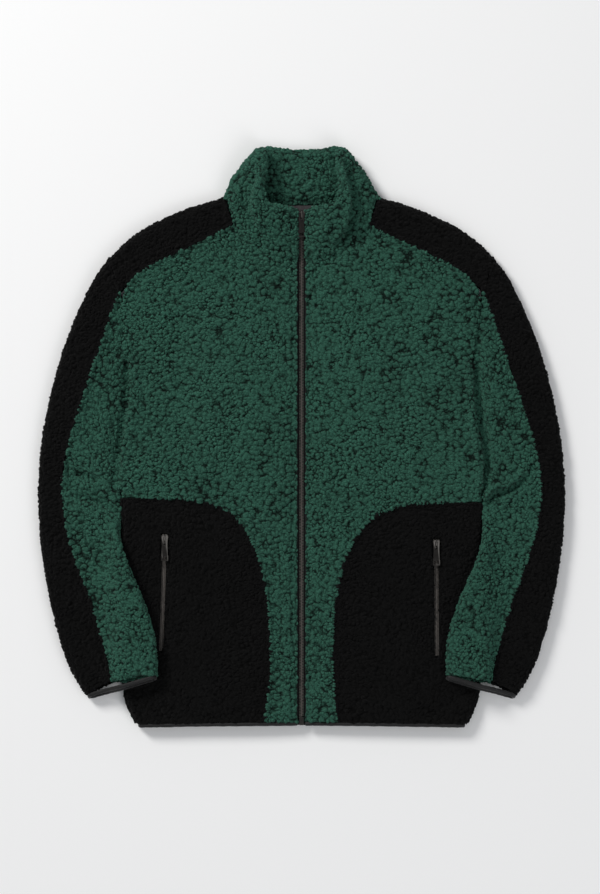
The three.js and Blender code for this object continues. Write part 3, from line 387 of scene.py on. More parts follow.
SLEEVE_FOLDS = [
    (-235, 96, -243, 18, 6, -3.4),
    (-243, 18, -251, -36, 6, -3.8),
    (-251, -36, -252, -70, 5, -3.2),
    (-302, -50, -278, -58, 4.5, -5.0),
    (-300, -82, -270, -90, 4.5, -5.0),
    (-270, -90, -250, -100, 4.5, -4.4),
    (-318, -44, -300, -72, 5, -2.0),
    (-300, -66, -266, -76, 6, 2.8),
    (-262, -104, -252, -116, 5, 3.0),
    (-304, -96, -268, -108, 7, 1.6),
    (-256, -88, -247, -98, 3, 2.2),
    (-316, -30, -280, -44, 5, -1.6),
    (-258, 90, -268, -10, 9, 1.2),
    (-282, 60, -300, -10, 9, -1.0),
    (-286, -150, -262, -220, 9, 1.1),
    (-240, -190, -222, -250, 6, -1.1),
    (-268, -266, -222, -276, 7, 1.0),
    (237, 96, 243, 8, 7, -4.6),
    (243, 8, 252, -36, 7, -5.4),
    (252, -36, 253, -66, 5, -4.0),
    (252, -92, 258, -82, 4, -5.6),
    (258, -82, 276, -76, 4.2, -6.0),
    (276, -76, 296, -64, 4.2, -5.8),
    (296, -64, 311, -42, 4.4, -4.0),
    (251, -82, 258, -71, 5.5, 5.4),
    (258, -71, 281, -64, 5.5, 6.0),
    (281, -64, 303, -48, 6, 4.6),
    (262, -92, 292, -80, 7, 1.8),
    (256, -120, 296, -100, 6, -1.3),
    (252, 130, 262, 30, 8, 1.2),
    (276, 90, 292, 0, 9, -1.0),
    (292, -130, 272, -210, 10, 1.1),
    (244, -180, 226, -240, 7, -1.2),
    (224, -262, 262, -282, 6, 1.0),
]
COLLAR_FOLDS = [
    (-64, 346, -73, 325, 4.4, -4.2),
    (-73, 325, -74, 301, 4.4, -5.6),
    (-74, 301, -66, 282, 4.4, -5.4),
    (-66, 282, -52, 264, 4.4, -4.4),
    (-52, 264, -40, 250, 4.4, -2.6),
    (-56, 352, -63, 325, 6, 3.2),
    (-63, 325, -63, 301, 6, 3.6),
    (-63, 301, -54, 284, 6, 2.8),
    (-90, 330, -84, 300, 8, 1.6),
    (60, 366, 69, 333, 4.2, -4.6),
    (69, 333, 71, 311, 4.2, -6.4),
    (71, 311, 68, 290, 4.4, -7.0),
    (68, 290, 61, 270, 4.4, -6.6),
    (61, 270, 50, 256, 4, -5.0),
    (54, 362, 62, 333, 5, 3.4),
    (62, 333, 64, 311, 5, 4.2),
    (64, 311, 61, 288, 5, 4.2),
    (61, 288, 51, 267, 5, 3.4),
    (78, 352, 90, 322, 8, 2.2),
    (40, 292, 18, 268, 9, 1.2),
    (-40, 288, -20, 262, 9, 1.0),
]
# first word of the solid's name: its table
FOLD_TABLES = {
    "collar": COLLAR_FOLDS,
    "sleeve": SLEEVE_FOLDS,
    "under": SLEEVE_FOLDS,
    "shoulder": FRONT_FOLDS,
    "front": FRONT_FOLDS,
    "pocket": FRONT_FOLDS,
    "back": FRONT_FOLDS,
}
BACK_SHARE = 0.4  # the back lies flat, so it keeps only this share of the folds


def folds_at(places, table):
    """Height of the folds at each place, in metres: the deepest trough there and the highest ridge."""
    ridge, trough = np.zeros(len(places)), np.zeros(len(places))
    for x, y, to_x, to_y, width, height in table:
        start = np.array([x, y]) * MM
        way = np.array([to_x - x, to_y - y]) * MM
        from_start = places[:, :2] - start
        along = np.clip(from_start @ way / (way @ way), 0, 1)
        away = np.linalg.norm(from_start - along[:, None] * way, axis=1) / (width * MM)
        here = height * MM * np.exp(-(away**2))
        ridge, trough = np.maximum(ridge, here), np.minimum(trough, here)
    return ridge + trough


def fold(node, mesh):
    """Moves the shown corners of a piece along its normals by its folds."""
    places, _, _ = arrays_of(mesh)
    normals = np.empty(len(mesh.vertices) * 3)
    mesh.vertices.foreach_get("normal", normals)
    shown = np.empty(len(mesh.vertices))
    mesh.attributes["shown"].data.foreach_get("value", shown)
    table = next(rows for word, rows in FOLD_TABLES.items() if node.startswith(word))
    amount = folds_at(places, table) * shown
    if node == "back":
        amount *= BACK_SHARE
    places += normals.reshape(-1, 3) * amount[:, None]
    mesh.vertices.foreach_set("co", places.ravel())
    return np.abs(amount).max()


deepest = {node: fold(node, mesh) for node, mesh in fine_forms.items()}
print("deepest fold in mm:", {node: round(depth / MM, 1) for node, depth in deepest.items()})

# %% [markdown]
# ## The pile
#
# Curly fleece is a field of small soft knots, packed like cobbles, with narrow dark gaps between them. A Voronoi
# pattern has just that plan: a cell for each knot. The distance to the cell's edge gives a dome that is steep beside
# the gap and nearly flat on top. Noise pushes the pattern about first, so that the knots curl and none is straight.
# Some patches have large knots and some have small ones, as the cloth was brushed.

# %% The pattern of the knots
def link_chain(tree, *pairs):
    for source, target in pairs:
        tree.links.new(source, target)


def math_node(tree, operation, first, second=None, clamp=False):
    """A Math node; its inputs are numbers or sockets."""
    node = tree.nodes.new("ShaderNodeMath")
    node.operation = operation
    node.use_clamp = clamp
    for socket, value in zip(node.inputs, (first, second)):
        if value is None:
            continue
        if isinstance(value, (int, float)):
            socket.default_value = value
        else:
            tree.links.new(value, socket)
    return node.outputs[0]


def vector_node(tree, operation, first, second):
    node = tree.nodes.new("ShaderNodeVectorMath")
    node.operation = operation
    for socket, value in zip(node.inputs, (first, second)):
        if isinstance(value, (tuple, list)):
            socket.default_value = value
        else:
            tree.links.new(value, socket)
    return node.outputs[0]


def ranged(tree, value, low, high, to_low, to_high):
    node = tree.nodes.new("ShaderNodeMapRange")
    tree.links.new(value, node.inputs["Value"])
    limits = {"From Min": low, "From Max": high, "To Min": to_low, "To Max": to_high}
    for label, number in limits.items():
        node.inputs[label].default_value = number
    return node.outputs["Result"]


def noise_at(tree, place, size, detail, output="Fac"):
    node = tree.nodes.new("ShaderNodeTexNoise")
    node.inputs["Scale"].default_value = 1 / size
    node.inputs["Detail"].default_value = detail
    tree.links.new(place, node.inputs["Vector"])
    return node.outputs[output]


def cells_at(tree, place, size, feature):
    """Distance in a Voronoi pattern whose cells are a little wider than they are long."""
    cells = tree.nodes.new("ShaderNodeTexVoronoi")
    cells.feature = feature
    cells.inputs["Scale"].default_value = 1
    cells.inputs["Randomness"].default_value = 0.95
    scaled = vector_node(tree, "MULTIPLY", place, (0.85 / size, 1.1 / size, 1 / size))
    tree.links.new(scaled, cells.inputs["Vector"])
    return cells.outputs["Distance"]


CELL_REACH = 0.78  # how far a cell's corner is from its middle, in cells
LARGE_KNOT = 6.0 * MM
SMALL_KNOT = 4.2 * MM
CURL = 9 * MM  # how far the knots are pushed about


def domes(tree, place, size):
    """A round top for each cell, falling away to its corners, with a narrow gap round it."""
    share = math_node(tree, "DIVIDE", cells_at(tree, place, size, "F1"), CELL_REACH)
    away = math_node(tree, "POWER", share, 2.0)
    top = math_node(tree, "SUBTRACT", 1.0, away, clamp=True)
    gap = ranged(tree, cells_at(tree, place, size, "DISTANCE_TO_EDGE"), 0.0, 0.2, 0, 0.32)
    return math_node(tree, "ADD", math_node(tree, "MULTIPLY", top, 0.68), gap)


def knots(tree, place):
    """How high the pile stands at a place, from 0 in the gaps to 1."""
    push = vector_node(tree, "SUBTRACT", noise_at(tree, place, 8 * MM, 2.0, "Color"), (0.5, 0.5, 0.5))
    pushed = vector_node(tree, "ADD", place, vector_node(tree, "MULTIPLY", push, (CURL,) * 3))
    large = domes(tree, pushed, LARGE_KNOT)
    small = domes(tree, pushed, SMALL_KNOT)
    kind = ranged(tree, noise_at(tree, place, 45 * MM, 1.0), 0.42, 0.58, 0, 1)
    first = math_node(tree, "MULTIPLY", large, math_node(tree, "SUBTRACT", 1.0, kind))
    both = math_node(tree, "ADD", first, math_node(tree, "MULTIPLY", small, kind))
    # Long creases where the pile parts, along the middle values of a noise
    parting = math_node(tree, "SUBTRACT", noise_at(tree, place, 9 * MM, 1.5), 0.5)
    beside = ranged(tree, math_node(tree, "ABSOLUTE", parting), 0.0, 0.07, 0.55, 1)
    return math_node(tree, "MULTIPLY", both, beside)


# %% [markdown]
# ## Raising the pile
#
# Geometry nodes lift each corner along its normal by that pattern. They first store where it was, so that the colours
# can work out the same pattern at every point, far finer than the mesh. The black cloth is of a finer curl, so its
# places are multiplied by a number above 1 first, and its pile stands a little lower.

# %% Geometry nodes for the pile
def stored(tree, geometry, name, kind, value):
    node = tree.nodes.new("GeometryNodeStoreNamedAttribute")
    node.data_type = kind
    node.domain = "POINT"
    node.inputs["Name"].default_value = name
    link_chain(tree, (geometry, node.inputs["Geometry"]), (value, node.inputs["Value"]))
    return node.outputs["Geometry"]


def read(tree, name):
    node = tree.nodes.new("GeometryNodeInputNamedAttribute")
    node.data_type = "FLOAT"
    node.inputs["Name"].default_value = name
    return node.outputs["Attribute"]


def pile_group():
    tree = bpy.data.node_groups.new("curly_pile", "GeometryNodeTree")
    face = tree.interface
    face.new_socket("Geometry", in_out="INPUT", socket_type="NodeSocketGeometry")
    for label in ("Height", "Sunk", "At seam", "Fineness"):
        face.new_socket(label, in_out="INPUT", socket_type="NodeSocketFloat")
    face.new_socket("Geometry", in_out="OUTPUT", socket_type="NodeSocketGeometry")
    start, end = tree.nodes.new("NodeGroupInput"), tree.nodes.new("NodeGroupOutput")
    position = tree.nodes.new("GeometryNodeInputPosition").outputs[0]
    normal = tree.nodes.new("GeometryNodeInputNormal").outputs[0]

    # Tufts of several knots stand higher than others
    place = vector_node(tree, "MULTIPLY", position, start.outputs["Fineness"])
    tufts = ranged(tree, noise_at(tree, position, 16 * MM, 2.0), 0.3, 0.7, 0.75, 1.25)
    stand = math_node(tree, "MULTIPLY", knots(tree, place), tufts)
    stand = math_node(tree, "MULTIPLY", stand, start.outputs["Height"])
    seam = read(tree, "seam")
    apart = math_node(tree, "SUBTRACT", 1.0, seam)
    sunk = math_node(tree, "MULTIPLY", apart, start.outputs["Sunk"])
    raised = math_node(tree, "MULTIPLY", seam, start.outputs["At seam"])
    lift = math_node(tree, "ADD", math_node(tree, "SUBTRACT", stand, sunk), raised)
    lift = math_node(tree, "MULTIPLY", lift, read(tree, "shown"))
    scaled = tree.nodes.new("ShaderNodeVectorMath")
    scaled.operation = "SCALE"
    link_chain(tree, (normal, scaled.inputs[0]), (lift, scaled.inputs["Scale"]))

    move = tree.nodes.new("GeometryNodeSetPosition")
    kept = stored(tree, start.outputs["Geometry"], "rest_place", "FLOAT_VECTOR", position)
    link_chain(
        tree,
        (kept, move.inputs["Geometry"]),
        (scaled.outputs[0], move.inputs["Offset"]),
        (move.outputs["Geometry"], end.inputs["Geometry"]),
    )
    return tree


curly_pile = pile_group()


def pile_of(height, sunk, at_seam, fineness):
    def make(thing):
        modifier = thing.modifiers.new("pile", "NODES")
        modifier.node_group = curly_pile
        sockets = curly_pile.interface.items_tree
        names = {item.name: item.identifier for item in sockets if item.in_out == "INPUT"}
        for label, value in (("Height", height), ("Sunk", sunk), ("At seam", at_seam), ("Fineness", fineness)):
            modifier[names[label]] = value

    return make


print("pile group:", len(curly_pile.nodes), "nodes")

# %% Grow the pile on each piece
PILE_HEIGHT = 3.8 * MM
PILE_SUNK = 2.3 * MM
PILE_AT_SEAM = 0.2 * MM
BLACK_NODES = ("pocket_panel", "shoulder", "sleeve_stripe")
BLACK_FINENESS = 1.35
BLACK_PILE = 0.85  # share of the full pile
RESTING_PILE = 0.6  # the back's, pressed by its own weight
REST_LEVEL = 0.2 * MM


def grown(node):
    """The piece's mesh with its pile, flat where it rests on the floor."""
    black = node.startswith(BLACK_NODES)
    share = RESTING_PILE if node == "back" else BLACK_PILE if black else 1
    fineness = BLACK_FINENESS if black else 1.0
    pile = pile_of(PILE_HEIGHT * share, PILE_SUNK * share, PILE_AT_SEAM, fineness)
    mesh = applied(fine_forms[node], pile)
    places, _, _ = arrays_of(mesh)
    places[:, 2] = np.maximum(places[:, 2], REST_LEVEL)
    mesh.vertices.foreach_set("co", places.ravel())
    mesh.shade_smooth()
    mesh.name = node + "_pile"
    return mesh


piles = {node: grown(node) for node in FLEECE_NODES}
def triangles(mesh):
    return sum(len(face.vertices) - 2 for face in mesh.polygons)


print("triangles:", {node: triangles(mesh) for node, mesh in piles.items()})

# %% [markdown]
# ## Colours and finishes
#
# Fleece has no gloss: it is rough, with a soft sheen at its fibre ends. The same shader group gives both cloths
# their look from two colours: a tip colour, and a darker gap colour that is painted shade in the gaps between the
# knots. It works out the pile's pattern from the stored place, adds patches where the pile was brushed another way,
# small curls inside each knot whose creases are darkened as painted shade, and fine noise for the fibres. The
# pattern, the curls and the fibres also feed the bump.

# %% Shader group for fleece
def shader_group(name, inputs, outputs):
    tree = bpy.data.node_groups.new(name, "ShaderNodeTree")
    for label, kind, value in inputs:
        socket = tree.interface.new_socket(label, in_out="INPUT", socket_type=kind)
        socket.default_value = value
    for label, kind in outputs:
        tree.interface.new_socket(label, in_out="OUTPUT", socket_type=kind)
    return tree, tree.nodes.new("NodeGroupInput"), tree.nodes.new("NodeGroupOutput")


def color_mix(tree, kind, factor, first, second):
    """A colour Mix node; its inputs are numbers, colours or sockets."""
    node = tree.nodes.new("ShaderNodeMix")
    node.data_type = "RGBA"
    node.blend_type = kind
    for socket, value in ((node.inputs[0], factor), (node.inputs[6], first), (node.inputs[7], second)):
        if isinstance(value, (int, float, tuple)):
            socket.default_value = value
        else:
            tree.links.new(value, socket)
    return node.outputs[2]


def noise(tree, size, detail=2.0, stretch=(1, 1, 1)):
    """Noise in the object's own space, with blobs of about a given size."""
    place = tree.nodes.new("ShaderNodeTexCoord").outputs["Object"]
    return noise_at(tree, vector_node(tree, "MULTIPLY", place, stretch), size, detail)


def fleece_group():
    tree, start, end = shader_group(
        "fleece_look",
        [
            ("Gap_shade", "NodeSocketColor", (0, 0, 0, 1)),
            ("Tip", "NodeSocketColor", (0, 0, 0, 1)),
            ("Fineness", "NodeSocketFloat", 1.0),
        ],
        [("Color", "NodeSocketColor"), ("Height", "NodeSocketFloat")],
    )
    rest = tree.nodes.new("ShaderNodeAttribute")
    rest.attribute_name = "rest_place"
    place = vector_node(tree, "MULTIPLY", rest.outputs["Vector"], start.outputs["Fineness"])
    pile = knots(tree, place)
    shaken = vector_node(tree, "MULTIPLY", noise_at(tree, place, 3 * MM, 1.0, "Color"), (3 * MM,) * 3)
    curls = cells_at(tree, vector_node(tree, "ADD", place, shaken), 2.3 * MM, "DISTANCE_TO_EDGE")
    curls = ranged(tree, curls, 0.0, 0.25, 0, 1)
    fibres = noise(tree, 0.9 * MM, 4.0)
    patches = noise(tree, 45 * MM, 2.0)
    # Painted shade: the colour goes to the dark gap colour where the pile pattern is low, between the knots
    depth = ranged(tree, pile, 0.05, 0.55, 0, 1)
    color = color_mix(tree, "MIX", depth, start.outputs["Gap_shade"], start.outputs["Tip"])
    # Painted shade in the creases between the small curls: the colour is darkened along their edges
    color = color_mix(tree, "MULTIPLY", 1.0, color, ranged(tree, curls, 0, 1, 0.72, 1.1))
    color = color_mix(tree, "MULTIPLY", 1.0, color, ranged(tree, patches, 0.3, 0.7, 0.86, 1.12))
    color = color_mix(tree, "MULTIPLY", 1.0, color, ranged(tree, fibres, 0.3, 0.7, 0.8, 1.2))
    fine = math_node(tree, "MULTIPLY", fibres, 0.4)
    small = math_node(tree, "ADD", fine, math_node(tree, "MULTIPLY", curls, 0.22))
    rough = math_node(tree, "ADD", pile, small)
    link_chain(tree, (color, end.inputs["Color"]), (rough, end.inputs["Height"]))
    return tree


fleece_look = fleece_group()


def srgb(red, green, blue):
    """A colour as it is named on screens, from 0 to 255, as linear light."""
    def linear(value):
        share = value / 255
        return share / 12.92 if share <= 0.04045 else ((share + 0.055) / 1.055) ** 2.4

    return (linear(red), linear(green), linear(blue), 1)


def material_with(name, group, values, settings, bump):
    """A Principled material whose colour and bump come from a shader group."""
    material = bpy.data.materials.new(name)
    material.use_nodes = True
    tree = material.node_tree
    shader = tree.nodes["Principled BSDF"]
    look = tree.nodes.new("ShaderNodeGroup")
    look.node_tree = group
    for label, value in values.items():
        look.inputs[label].default_value = value
    for label, value in settings.items():
        shader.inputs[label].default_value = value
    strength, distance = bump
    relief = tree.nodes.new("ShaderNodeBump")
    relief.inputs["Strength"].default_value = strength
    relief.inputs["Distance"].default_value = distance
    link_chain(
        tree,
        (look.outputs["Color"], shader.inputs["Base Color"]),
        (look.outputs["Height"], relief.inputs["Height"]),
        (relief.outputs["Normal"], shader.inputs["Normal"]),
    )
    return material


FLEECE_SHADER = {"Roughness": 0.95, "Sheen Weight": 0.03, "Sheen Roughness": 0.5, "Specular IOR Level": 0.1}
FLEECE_BUMP = (1.0, 1.5 * MM)
# Each fleece's gap colour is painted shade in the gaps between its knots; its tip colour is the cloth's own
finishes = {
    "green_fleece": material_with(
        "green_fleece",
        fleece_look,
        {"Gap_shade": srgb(9, 23, 18), "Tip": srgb(50, 93, 78)},
        FLEECE_SHADER,
        FLEECE_BUMP,
    ),
    "black_fleece": material_with(
        "black_fleece",
        fleece_look,
        {"Gap_shade": srgb(1, 1, 1), "Tip": srgb(11, 11, 11), "Fineness": BLACK_FINENESS},
        FLEECE_SHADER,
        (1.0, 1.1 * MM),
    ),
}
print("fleece finishes:", sorted(finishes))

# %% [markdown]
# ## Smooth knits and woven tape
#
# The bindings are smooth elastic knit, the neck is lined with a fine jersey, and the zips are sewn on woven tape.
# All three are rows of small threads, so one group serves them: two waves across each other give the threads, and
# the size of a thread and the two colours tell the cloths apart.

# %% Shader group for thread
def thread_group():
    tree, start, end = shader_group(
        "thread_look",
        [
            ("Dark", "NodeSocketColor", (0, 0, 0, 1)),
            ("Light", "NodeSocketColor", (0, 0, 0, 1)),
            ("Thread", "NodeSocketFloat", 0.0005),
        ],
        [("Color", "NodeSocketColor"), ("Height", "NodeSocketFloat")],
    )
    place = tree.nodes.new("ShaderNodeTexCoord").outputs["Object"]
    axes = tree.nodes.new("ShaderNodeSeparateXYZ")
    tree.links.new(place, axes.inputs[0])
    turns = math_node(tree, "DIVIDE", math.pi, start.outputs["Thread"])
    across = math_node(tree, "ADD", axes.outputs["X"], axes.outputs["Z"])
    angles = [math_node(tree, "MULTIPLY", axis, turns) for axis in (across, axes.outputs["Y"])]
    woven = math_node(tree, "MULTIPLY", *[math_node(tree, "SINE", angle) for angle in angles])
    uneven = noise(tree, 6 * MM, 3.0)
    uneven = ranged(tree, uneven, 0.3, 0.7, 0, 0.4)
    mixed = math_node(tree, "ADD", ranged(tree, woven, -1, 1, 0, 0.6), uneven)
    color = color_mix(tree, "MIX", mixed, start.outputs["Dark"], start.outputs["Light"])
    link_chain(tree, (color, end.inputs["Color"]), (woven, end.inputs["Height"]))
    return tree


thread_look = thread_group()
THREAD_SHADER = {"Roughness": 0.75, "Sheen Weight": 0.1, "Specular IOR Level": 0.3}
finishes["binding"] = material_with(
    "elastic_binding",
    thread_look,
    {"Dark": srgb(5, 5, 5), "Light": srgb(17, 17, 18), "Thread": 0.5 * MM},
    {**THREAD_SHADER, "Roughness": 0.5},
    (0.3, 0.3 * MM),
)
finishes["lining"] = material_with(
    "neck_lining",
    thread_look,
    {"Dark": srgb(40, 38, 40), "Light": srgb(72, 68, 70), "Thread": 0.7 * MM},
    THREAD_SHADER,
    (0.4, 0.3 * MM),
)
finishes["zip_tape"] = material_with(
    "zip_tape",
    thread_look,
    {"Dark": srgb(10, 10, 10), "Light": srgb(26, 26, 27), "Thread": 0.6 * MM},
    THREAD_SHADER,
    (0.5, 0.3 * MM),
)
print("thread finishes:", len(finishes))

# %% [markdown]
# ## Metal and teeth
#
# The sliders are dark gunmetal: not quite black, worn paler on their edges and scratched a little. The teeth are
# coated dark too, and their pale edges and specks are painted glints. So both share one group of scratches and pale
# edges: wear on the sliders, painted glints on the teeth.

# %% Shader group for the zip's hard parts
def wear_and_glint_group():
    tree, start, end = shader_group(
        "wear_and_glint_look",
        [("Base", "NodeSocketColor", (0, 0, 0, 1)), ("Wear_and_glint", "NodeSocketColor", (0, 0, 0, 1))],
        [("Color", "NodeSocketColor"), ("Height", "NodeSocketFloat")],
    )
    scratches = noise(tree, 0.9 * MM, 4.0, (5, 1, 5))
    blotches = noise(tree, 5 * MM, 2.0)
    sides = tree.nodes.new("ShaderNodeNewGeometry").outputs["Pointiness"]
    edges = ranged(tree, sides, 0.52, 0.6, 0, 0.8)
    # Pale edges and scratches: wear on the sliders, painted glints on the teeth
    wear_and_glint = math_node(tree, "ADD", edges, ranged(tree, scratches, 0.55, 0.75, 0, 0.14), clamp=True)
    color = color_mix(tree, "MIX", wear_and_glint, start.outputs["Base"], start.outputs["Wear_and_glint"])
    color = color_mix(tree, "MULTIPLY", 1.0, color, ranged(tree, blotches, 0.3, 0.7, 0.85, 1.15))
    link_chain(tree, (color, end.inputs["Color"]), (scratches, end.inputs["Height"]))
    return tree


wear_and_glint_look = wear_and_glint_group()
finishes["slider_metal"] = material_with(
    "gunmetal",
    wear_and_glint_look,
    {"Base": srgb(46, 44, 42), "Wear_and_glint": srgb(140, 136, 131)},
    {"Roughness": 0.28, "Metallic": 0.85},
    (0.1, 0.1 * MM),
)
# The teeth's pale colour on their edges and specks is painted glint
finishes["zip_teeth"] = material_with(
    "zip_teeth",
    wear_and_glint_look,
    {"Base": srgb(8, 8, 8), "Wear_and_glint": srgb(105, 100, 96)},
    {"Roughness": 0.42, "Specular IOR Level": 0.3},
    (0.1, 0.1 * MM),
)
print("finishes:", sorted(finishes))

# %% [markdown]
# ## Dressing the frame
#
# Each finished mesh becomes an object that rides on its body, stands for its solid and names its finish. The table
# also lists for each cloth the size that it was cut to before it was sewn.

# %% Put the fleece on the frame
def dressed(name, mesh, replaced, finish, body="jacket"):
    mesh.materials.clear()
    mesh.materials.append(finishes[finish])
    piece = bpy.data.objects.new(name, mesh)
    bpy.context.scene.collection.objects.link(piece)
    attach(piece, body)
    if replaced:
        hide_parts(replaced)
    return piece


# name, solid, finish, cut width and length in metres, cut area in square metres, how it is held, what it lies on
GREEN, BLACK = "green_fleece", "black_fleece"
CUTS = [
    ("back_cloth", "back", GREEN, (0.50, 0.71), 0.33, "laid", []),
    ("collar_outer_cloth", "collar_outer", GREEN, (0.48, 0.08), 0.0375, "folded", ["back_cloth"]),
    ("collar_inner_cloth", "collar_inner", GREEN, (0.45, 0.075), 0.033, "folded", ["collar_outer_cloth"]),
]
# The same for the pieces of both sides, where a star stands for the side
SIDE_CUTS = [
    ("front_*_cloth", "front_*", GREEN, (0.245, 0.68), 0.102, "laid", ["back_cloth"]),
    ("pocket_*_cloth", "pocket_panel_*", BLACK, (0.21, 0.31), 0.061, "laid", ["back_cloth"]),
    ("shoulder_*_cloth", "shoulder_*", BLACK, (0.11, 0.185), 0.0180, "folded", ["back_cloth"]),
    ("stripe_*_cloth", "sleeve_stripe_*", BLACK, (0.13, 0.62), 0.055, "folded", ["floor"]),
    ("sleeve_*_cloth", "under_sleeve_*", GREEN, (0.2, 0.55), 0.078, "folded", ["pocket_*_cloth"]),
]
for side in SIDES:
    for name, node, finish, flat, area, held, rests_on in SIDE_CUTS:
        name, node, *rests_on = (word.replace("*", side) for word in (name, node, *rests_on))
        CUTS.append((name, node, finish, flat, area, held, rests_on))
for name, node, finish, flat, area, held, rests_on in CUTS:
    dressed(name, piles[node], node, finish)

# %% [markdown]
# ## Bindings and lining
#
# Elastic binding is stretched as it is sewn on, so it gathers the edge in tiny waves. The same rounding as before
# gives its folded edge, and a fine wave along it gives the gathers.

# %% Bindings and lining
def gathered(node, wave, depth):
    """A rounded mesh with small waves along X, as gathers."""
    mesh = applied(forms[node], subdivision(1))
    places, _, _ = arrays_of(mesh)
    normals = np.empty(len(mesh.vertices) * 3)
    mesh.vertices.foreach_get("normal", normals)
    turns = 2 * math.pi / wave
    ripple = np.sin(places[:, 0] * turns + 1.7 * np.sin(places[:, 0] * turns * 0.31)) * depth
    places += normals.reshape(-1, 3) * ripple[:, None]
    places[:, 2] = np.maximum(places[:, 2], REST_LEVEL)
    mesh.vertices.foreach_set("co", places.ravel())
    mesh.shade_smooth()
    return mesh


hem = dressed("hem_elastic", gathered("hem_binding", 7 * MM, 0.22 * MM), "hem_binding", "binding")
for side in SIDES:
    node = f"cuff_binding_{side}"
    cuff = dressed(f"cuff_{side}_elastic", gathered(node, 6 * MM, 0.2 * MM), node, "binding")
facing = dressed("neck_lining", gathered("neck_facing", 60 * MM, 0.1 * MM), "neck_facing", "lining")
print("bindings and lining:", len(hem.data.polygons), len(facing.data.polygons))

# %% [markdown]
# ## Zip teeth
#
# Each tooth of a closed zip is a small block whose head reaches past the middle, between two teeth of the other
# side. One tooth is modelled from a short table and copied along the zip, left and right in turn. The copies are
# joined into one mesh for each zip, because they are one moulded row on the real tape.

# %% Rows of teeth
# along the tooth, half width, half height, in mm: its foot grips the tape, its neck is thin and its head round
TOOTH = [
    (0.0, 0.50, 0.9),
    (0.5, 0.62, 1.15),
    (1.6, 0.42, 1.1),
    (2.2, 0.36, 1.05),
    (2.9, 0.58, 1.0),
    (3.4, 0.34, 0.8),
]
# shares of the half width and half height, round a tooth: flat below and rounded above
TOOTH_RING = [(-1, -0.7), (1, -0.7), (1, 0.5), (0.5, 1), (-0.5, 1), (-1, 0.5)]
TOOTH_FOOT = 2.75 * MM  # from the middle of the zip to the foot of a tooth


def tooth_mesh():
    """Corners and faces of one tooth, its foot at x = 0 and its head towards -x."""
    corners, faces = [], []
    for along, wide, high in TOOTH:
        corners.extend((-along, wide * a, high * b) for a, b in TOOTH_RING)
    count = len(TOOTH_RING)
    for i in range(len(TOOTH) - 1):
        for k in range(count):
            m = (k + 1) % count
            faces.append((i * count + k, i * count + m, (i + 1) * count + m, (i + 1) * count + k))
    faces.append(tuple(reversed(range(count))))
    faces.append(tuple(range(len(corners) - count, len(corners))))
    return np.array(corners) * MM, faces


def teeth_along(name, path, pitch, size):
    """Teeth at even steps along a line of points, alternately from its right and its left."""
    tooth, tooth_faces = tooth_mesh()
    points = np.array(path, float) * MM
    steps = np.linalg.norm(np.diff(points, axis=0), axis=1)
    length = np.concatenate([[0], np.cumsum(steps)])
    corners, faces = [], []
    for i, at in enumerate(np.arange(0.4 * pitch, length[-1] - 0.4 * pitch, pitch / 2)):
        k = min(np.searchsorted(length, at, side="right") - 1, len(steps) - 1)
        way = (points[k + 1] - points[k]) / steps[k]
        centre = points[k] + way * (at - length[k])
        out = np.array([way[1], -way[0], 0]) * (1 if i % 2 else -1)
        out /= np.linalg.norm(out)
        up = np.cross(out, way)
        up *= np.sign(up[2])
        reach = (tooth[:, :1] + TOOTH_FOOT) * out
        placed = centre + (reach + tooth[:, 1:2] * way + tooth[:, 2:] * up) * size
        start = len(corners)
        corners.extend(placed)
        faces.extend(tuple(start + c for c in face) for face in tooth_faces)
    mesh = bpy.data.meshes.new(name)
    mesh.from_pydata([tuple(c) for c in corners], [], faces)
    shape = bmesh.new()
    shape.from_mesh(mesh)
    bmesh.ops.recalc_face_normals(shape, faces=shape.faces)
    shape.to_mesh(mesh)
    shape.free()
    return mesh


# The zip's route in mm: the middle of its teeth, from the box at the hem to the slider
MAIN_ROUTE = [
    (0, -379.5, 10.1),
    (0, 230, 10.1),
    (0, 237.5, 10.4),
    (0, 244, 11.1),
    (0, 262, 14.1),
    (0, 281, 17.3),
    (0, 290.8, 18.9),
]
MAIN_PITCH, POCKET_PITCH = 2.1 * MM, 1.7 * MM
POCKET_BAR = 4.4 * MM  # width of the solid bar that the pocket's teeth stand for
POCKET_LEVEL = 11.3
POCKET_SIZE = 1.05
teeth = teeth_along("main_zip_teeth", MAIN_ROUTE, MAIN_PITCH, 1.0)
dressed("main_zip_teeth", teeth, "zip_chain", "zip_teeth")
for side in SIDES:
    low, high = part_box(f"pocket_{side}_zip_chain")
    lean = SIDES[side] * abs(high.x - low.x - POCKET_BAR) / 2
    middle = (low.x + high.x) / 2
    route = [
        ((middle + lean) / MM, low.y / MM, POCKET_LEVEL),
        ((middle - lean) / MM, high.y / MM, POCKET_LEVEL),
    ]
    row = teeth_along(f"pocket_{side}_teeth", route, POCKET_PITCH, POCKET_SIZE)
    dressed(f"pocket_{side}_teeth", row, f"pocket_{side}_zip_chain", "zip_teeth")
print("teeth faces:", len(teeth.polygons))

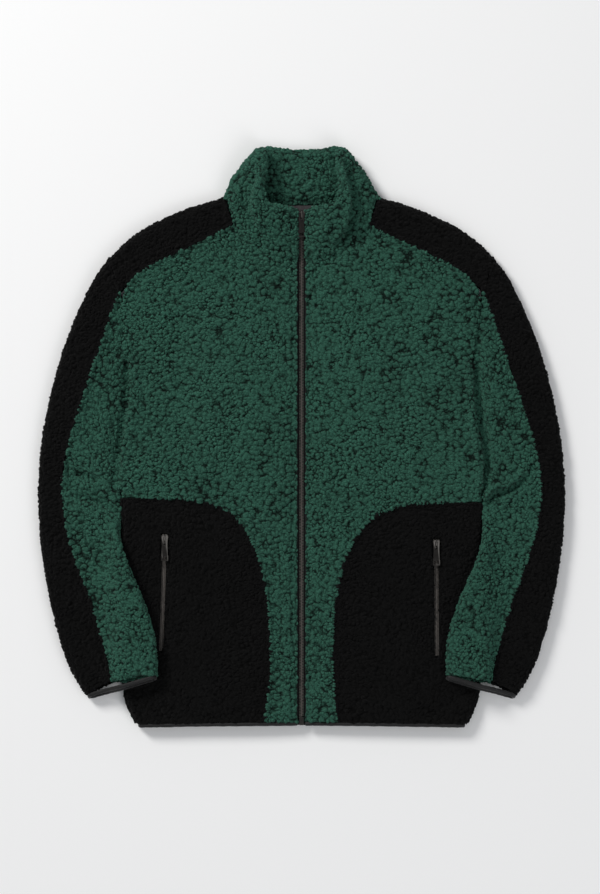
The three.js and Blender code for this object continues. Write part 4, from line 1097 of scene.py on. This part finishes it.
# %% [markdown]
# ## Sliders and pull tabs
#
# They are cast, so no edge is sharp. The solids have the right shape but knife edges, so each is copied, its flat
# faces are joined, and a small bevel rounds it, wider on the pull tabs. That is what catches the light on real metal.

# %% Rounded metal
SMALL_EDGE, TAB_EDGE = 0.28 * MM, 0.45 * MM


def cast(name, node, body, edge=SMALL_EDGE):
    shape = bmesh.new()
    shape.from_mesh(nodes[node].data)
    bmesh.ops.remove_doubles(shape, verts=shape.verts, dist=0.01 * MM)
    bmesh.ops.dissolve_limit(shape, angle_limit=math.radians(2), verts=shape.verts, edges=shape.edges)
    mesh = bpy.data.meshes.new(name)
    shape.to_mesh(mesh)
    shape.free()
    mesh.shade_smooth()

    def round_edges(thing):
        bevel = thing.modifiers.new("bevel", "BEVEL")
        bevel.width = edge
        bevel.segments = 3
        bevel.limit_method = "ANGLE"
        bevel.angle_limit = math.radians(35)
        bevel.harden_normals = True

    return dressed(name, applied(mesh, round_edges), node, "slider_metal", body)


cast("main_slider_body", "zip_slider", "jacket")
cast("main_pull_tab", "zip_pull", "main_pull", TAB_EDGE)
cast("zip_foot_box", "zip_box", "jacket")
for side in SIDES:
    cast(f"pocket_{side}_slider_body", f"pocket_{side}_slider", "jacket")
    cast(f"pocket_{side}_pull_tab", f"pocket_{side}_pull", f"{side}_pocket_pull", TAB_EDGE)

# %% [markdown]
# ## Woven tapes
#
# A zip's teeth are clamped on woven tapes, and the fleece is sewn over them. Only a narrow strip shows beside the
# teeth, so the rounded solids are enough, with the shader group for thread.

# %% Tapes of the zips
# solid, cut width and length in metres, cut area in square metres
MAIN_TAPE, POCKET_TAPE = ((0.010, 0.69), 0.0055), ((0.022, 0.173), 0.0036)
TAPES = {
    "zip_tape_right": MAIN_TAPE,
    "zip_tape_left": MAIN_TAPE,
    "pocket_right_zip_tape": POCKET_TAPE,
    "pocket_left_zip_tape": POCKET_TAPE,
}
for node, (flat, area) in TAPES.items():
    mesh = applied(four_sided(node), subdivision(2))
    mesh.shade_smooth()
    tape = dressed(node + "_woven", mesh, node, "zip_tape")
    print(node, "square metres:", round(sum(face.area for face in mesh.polygons) / 2, 5))
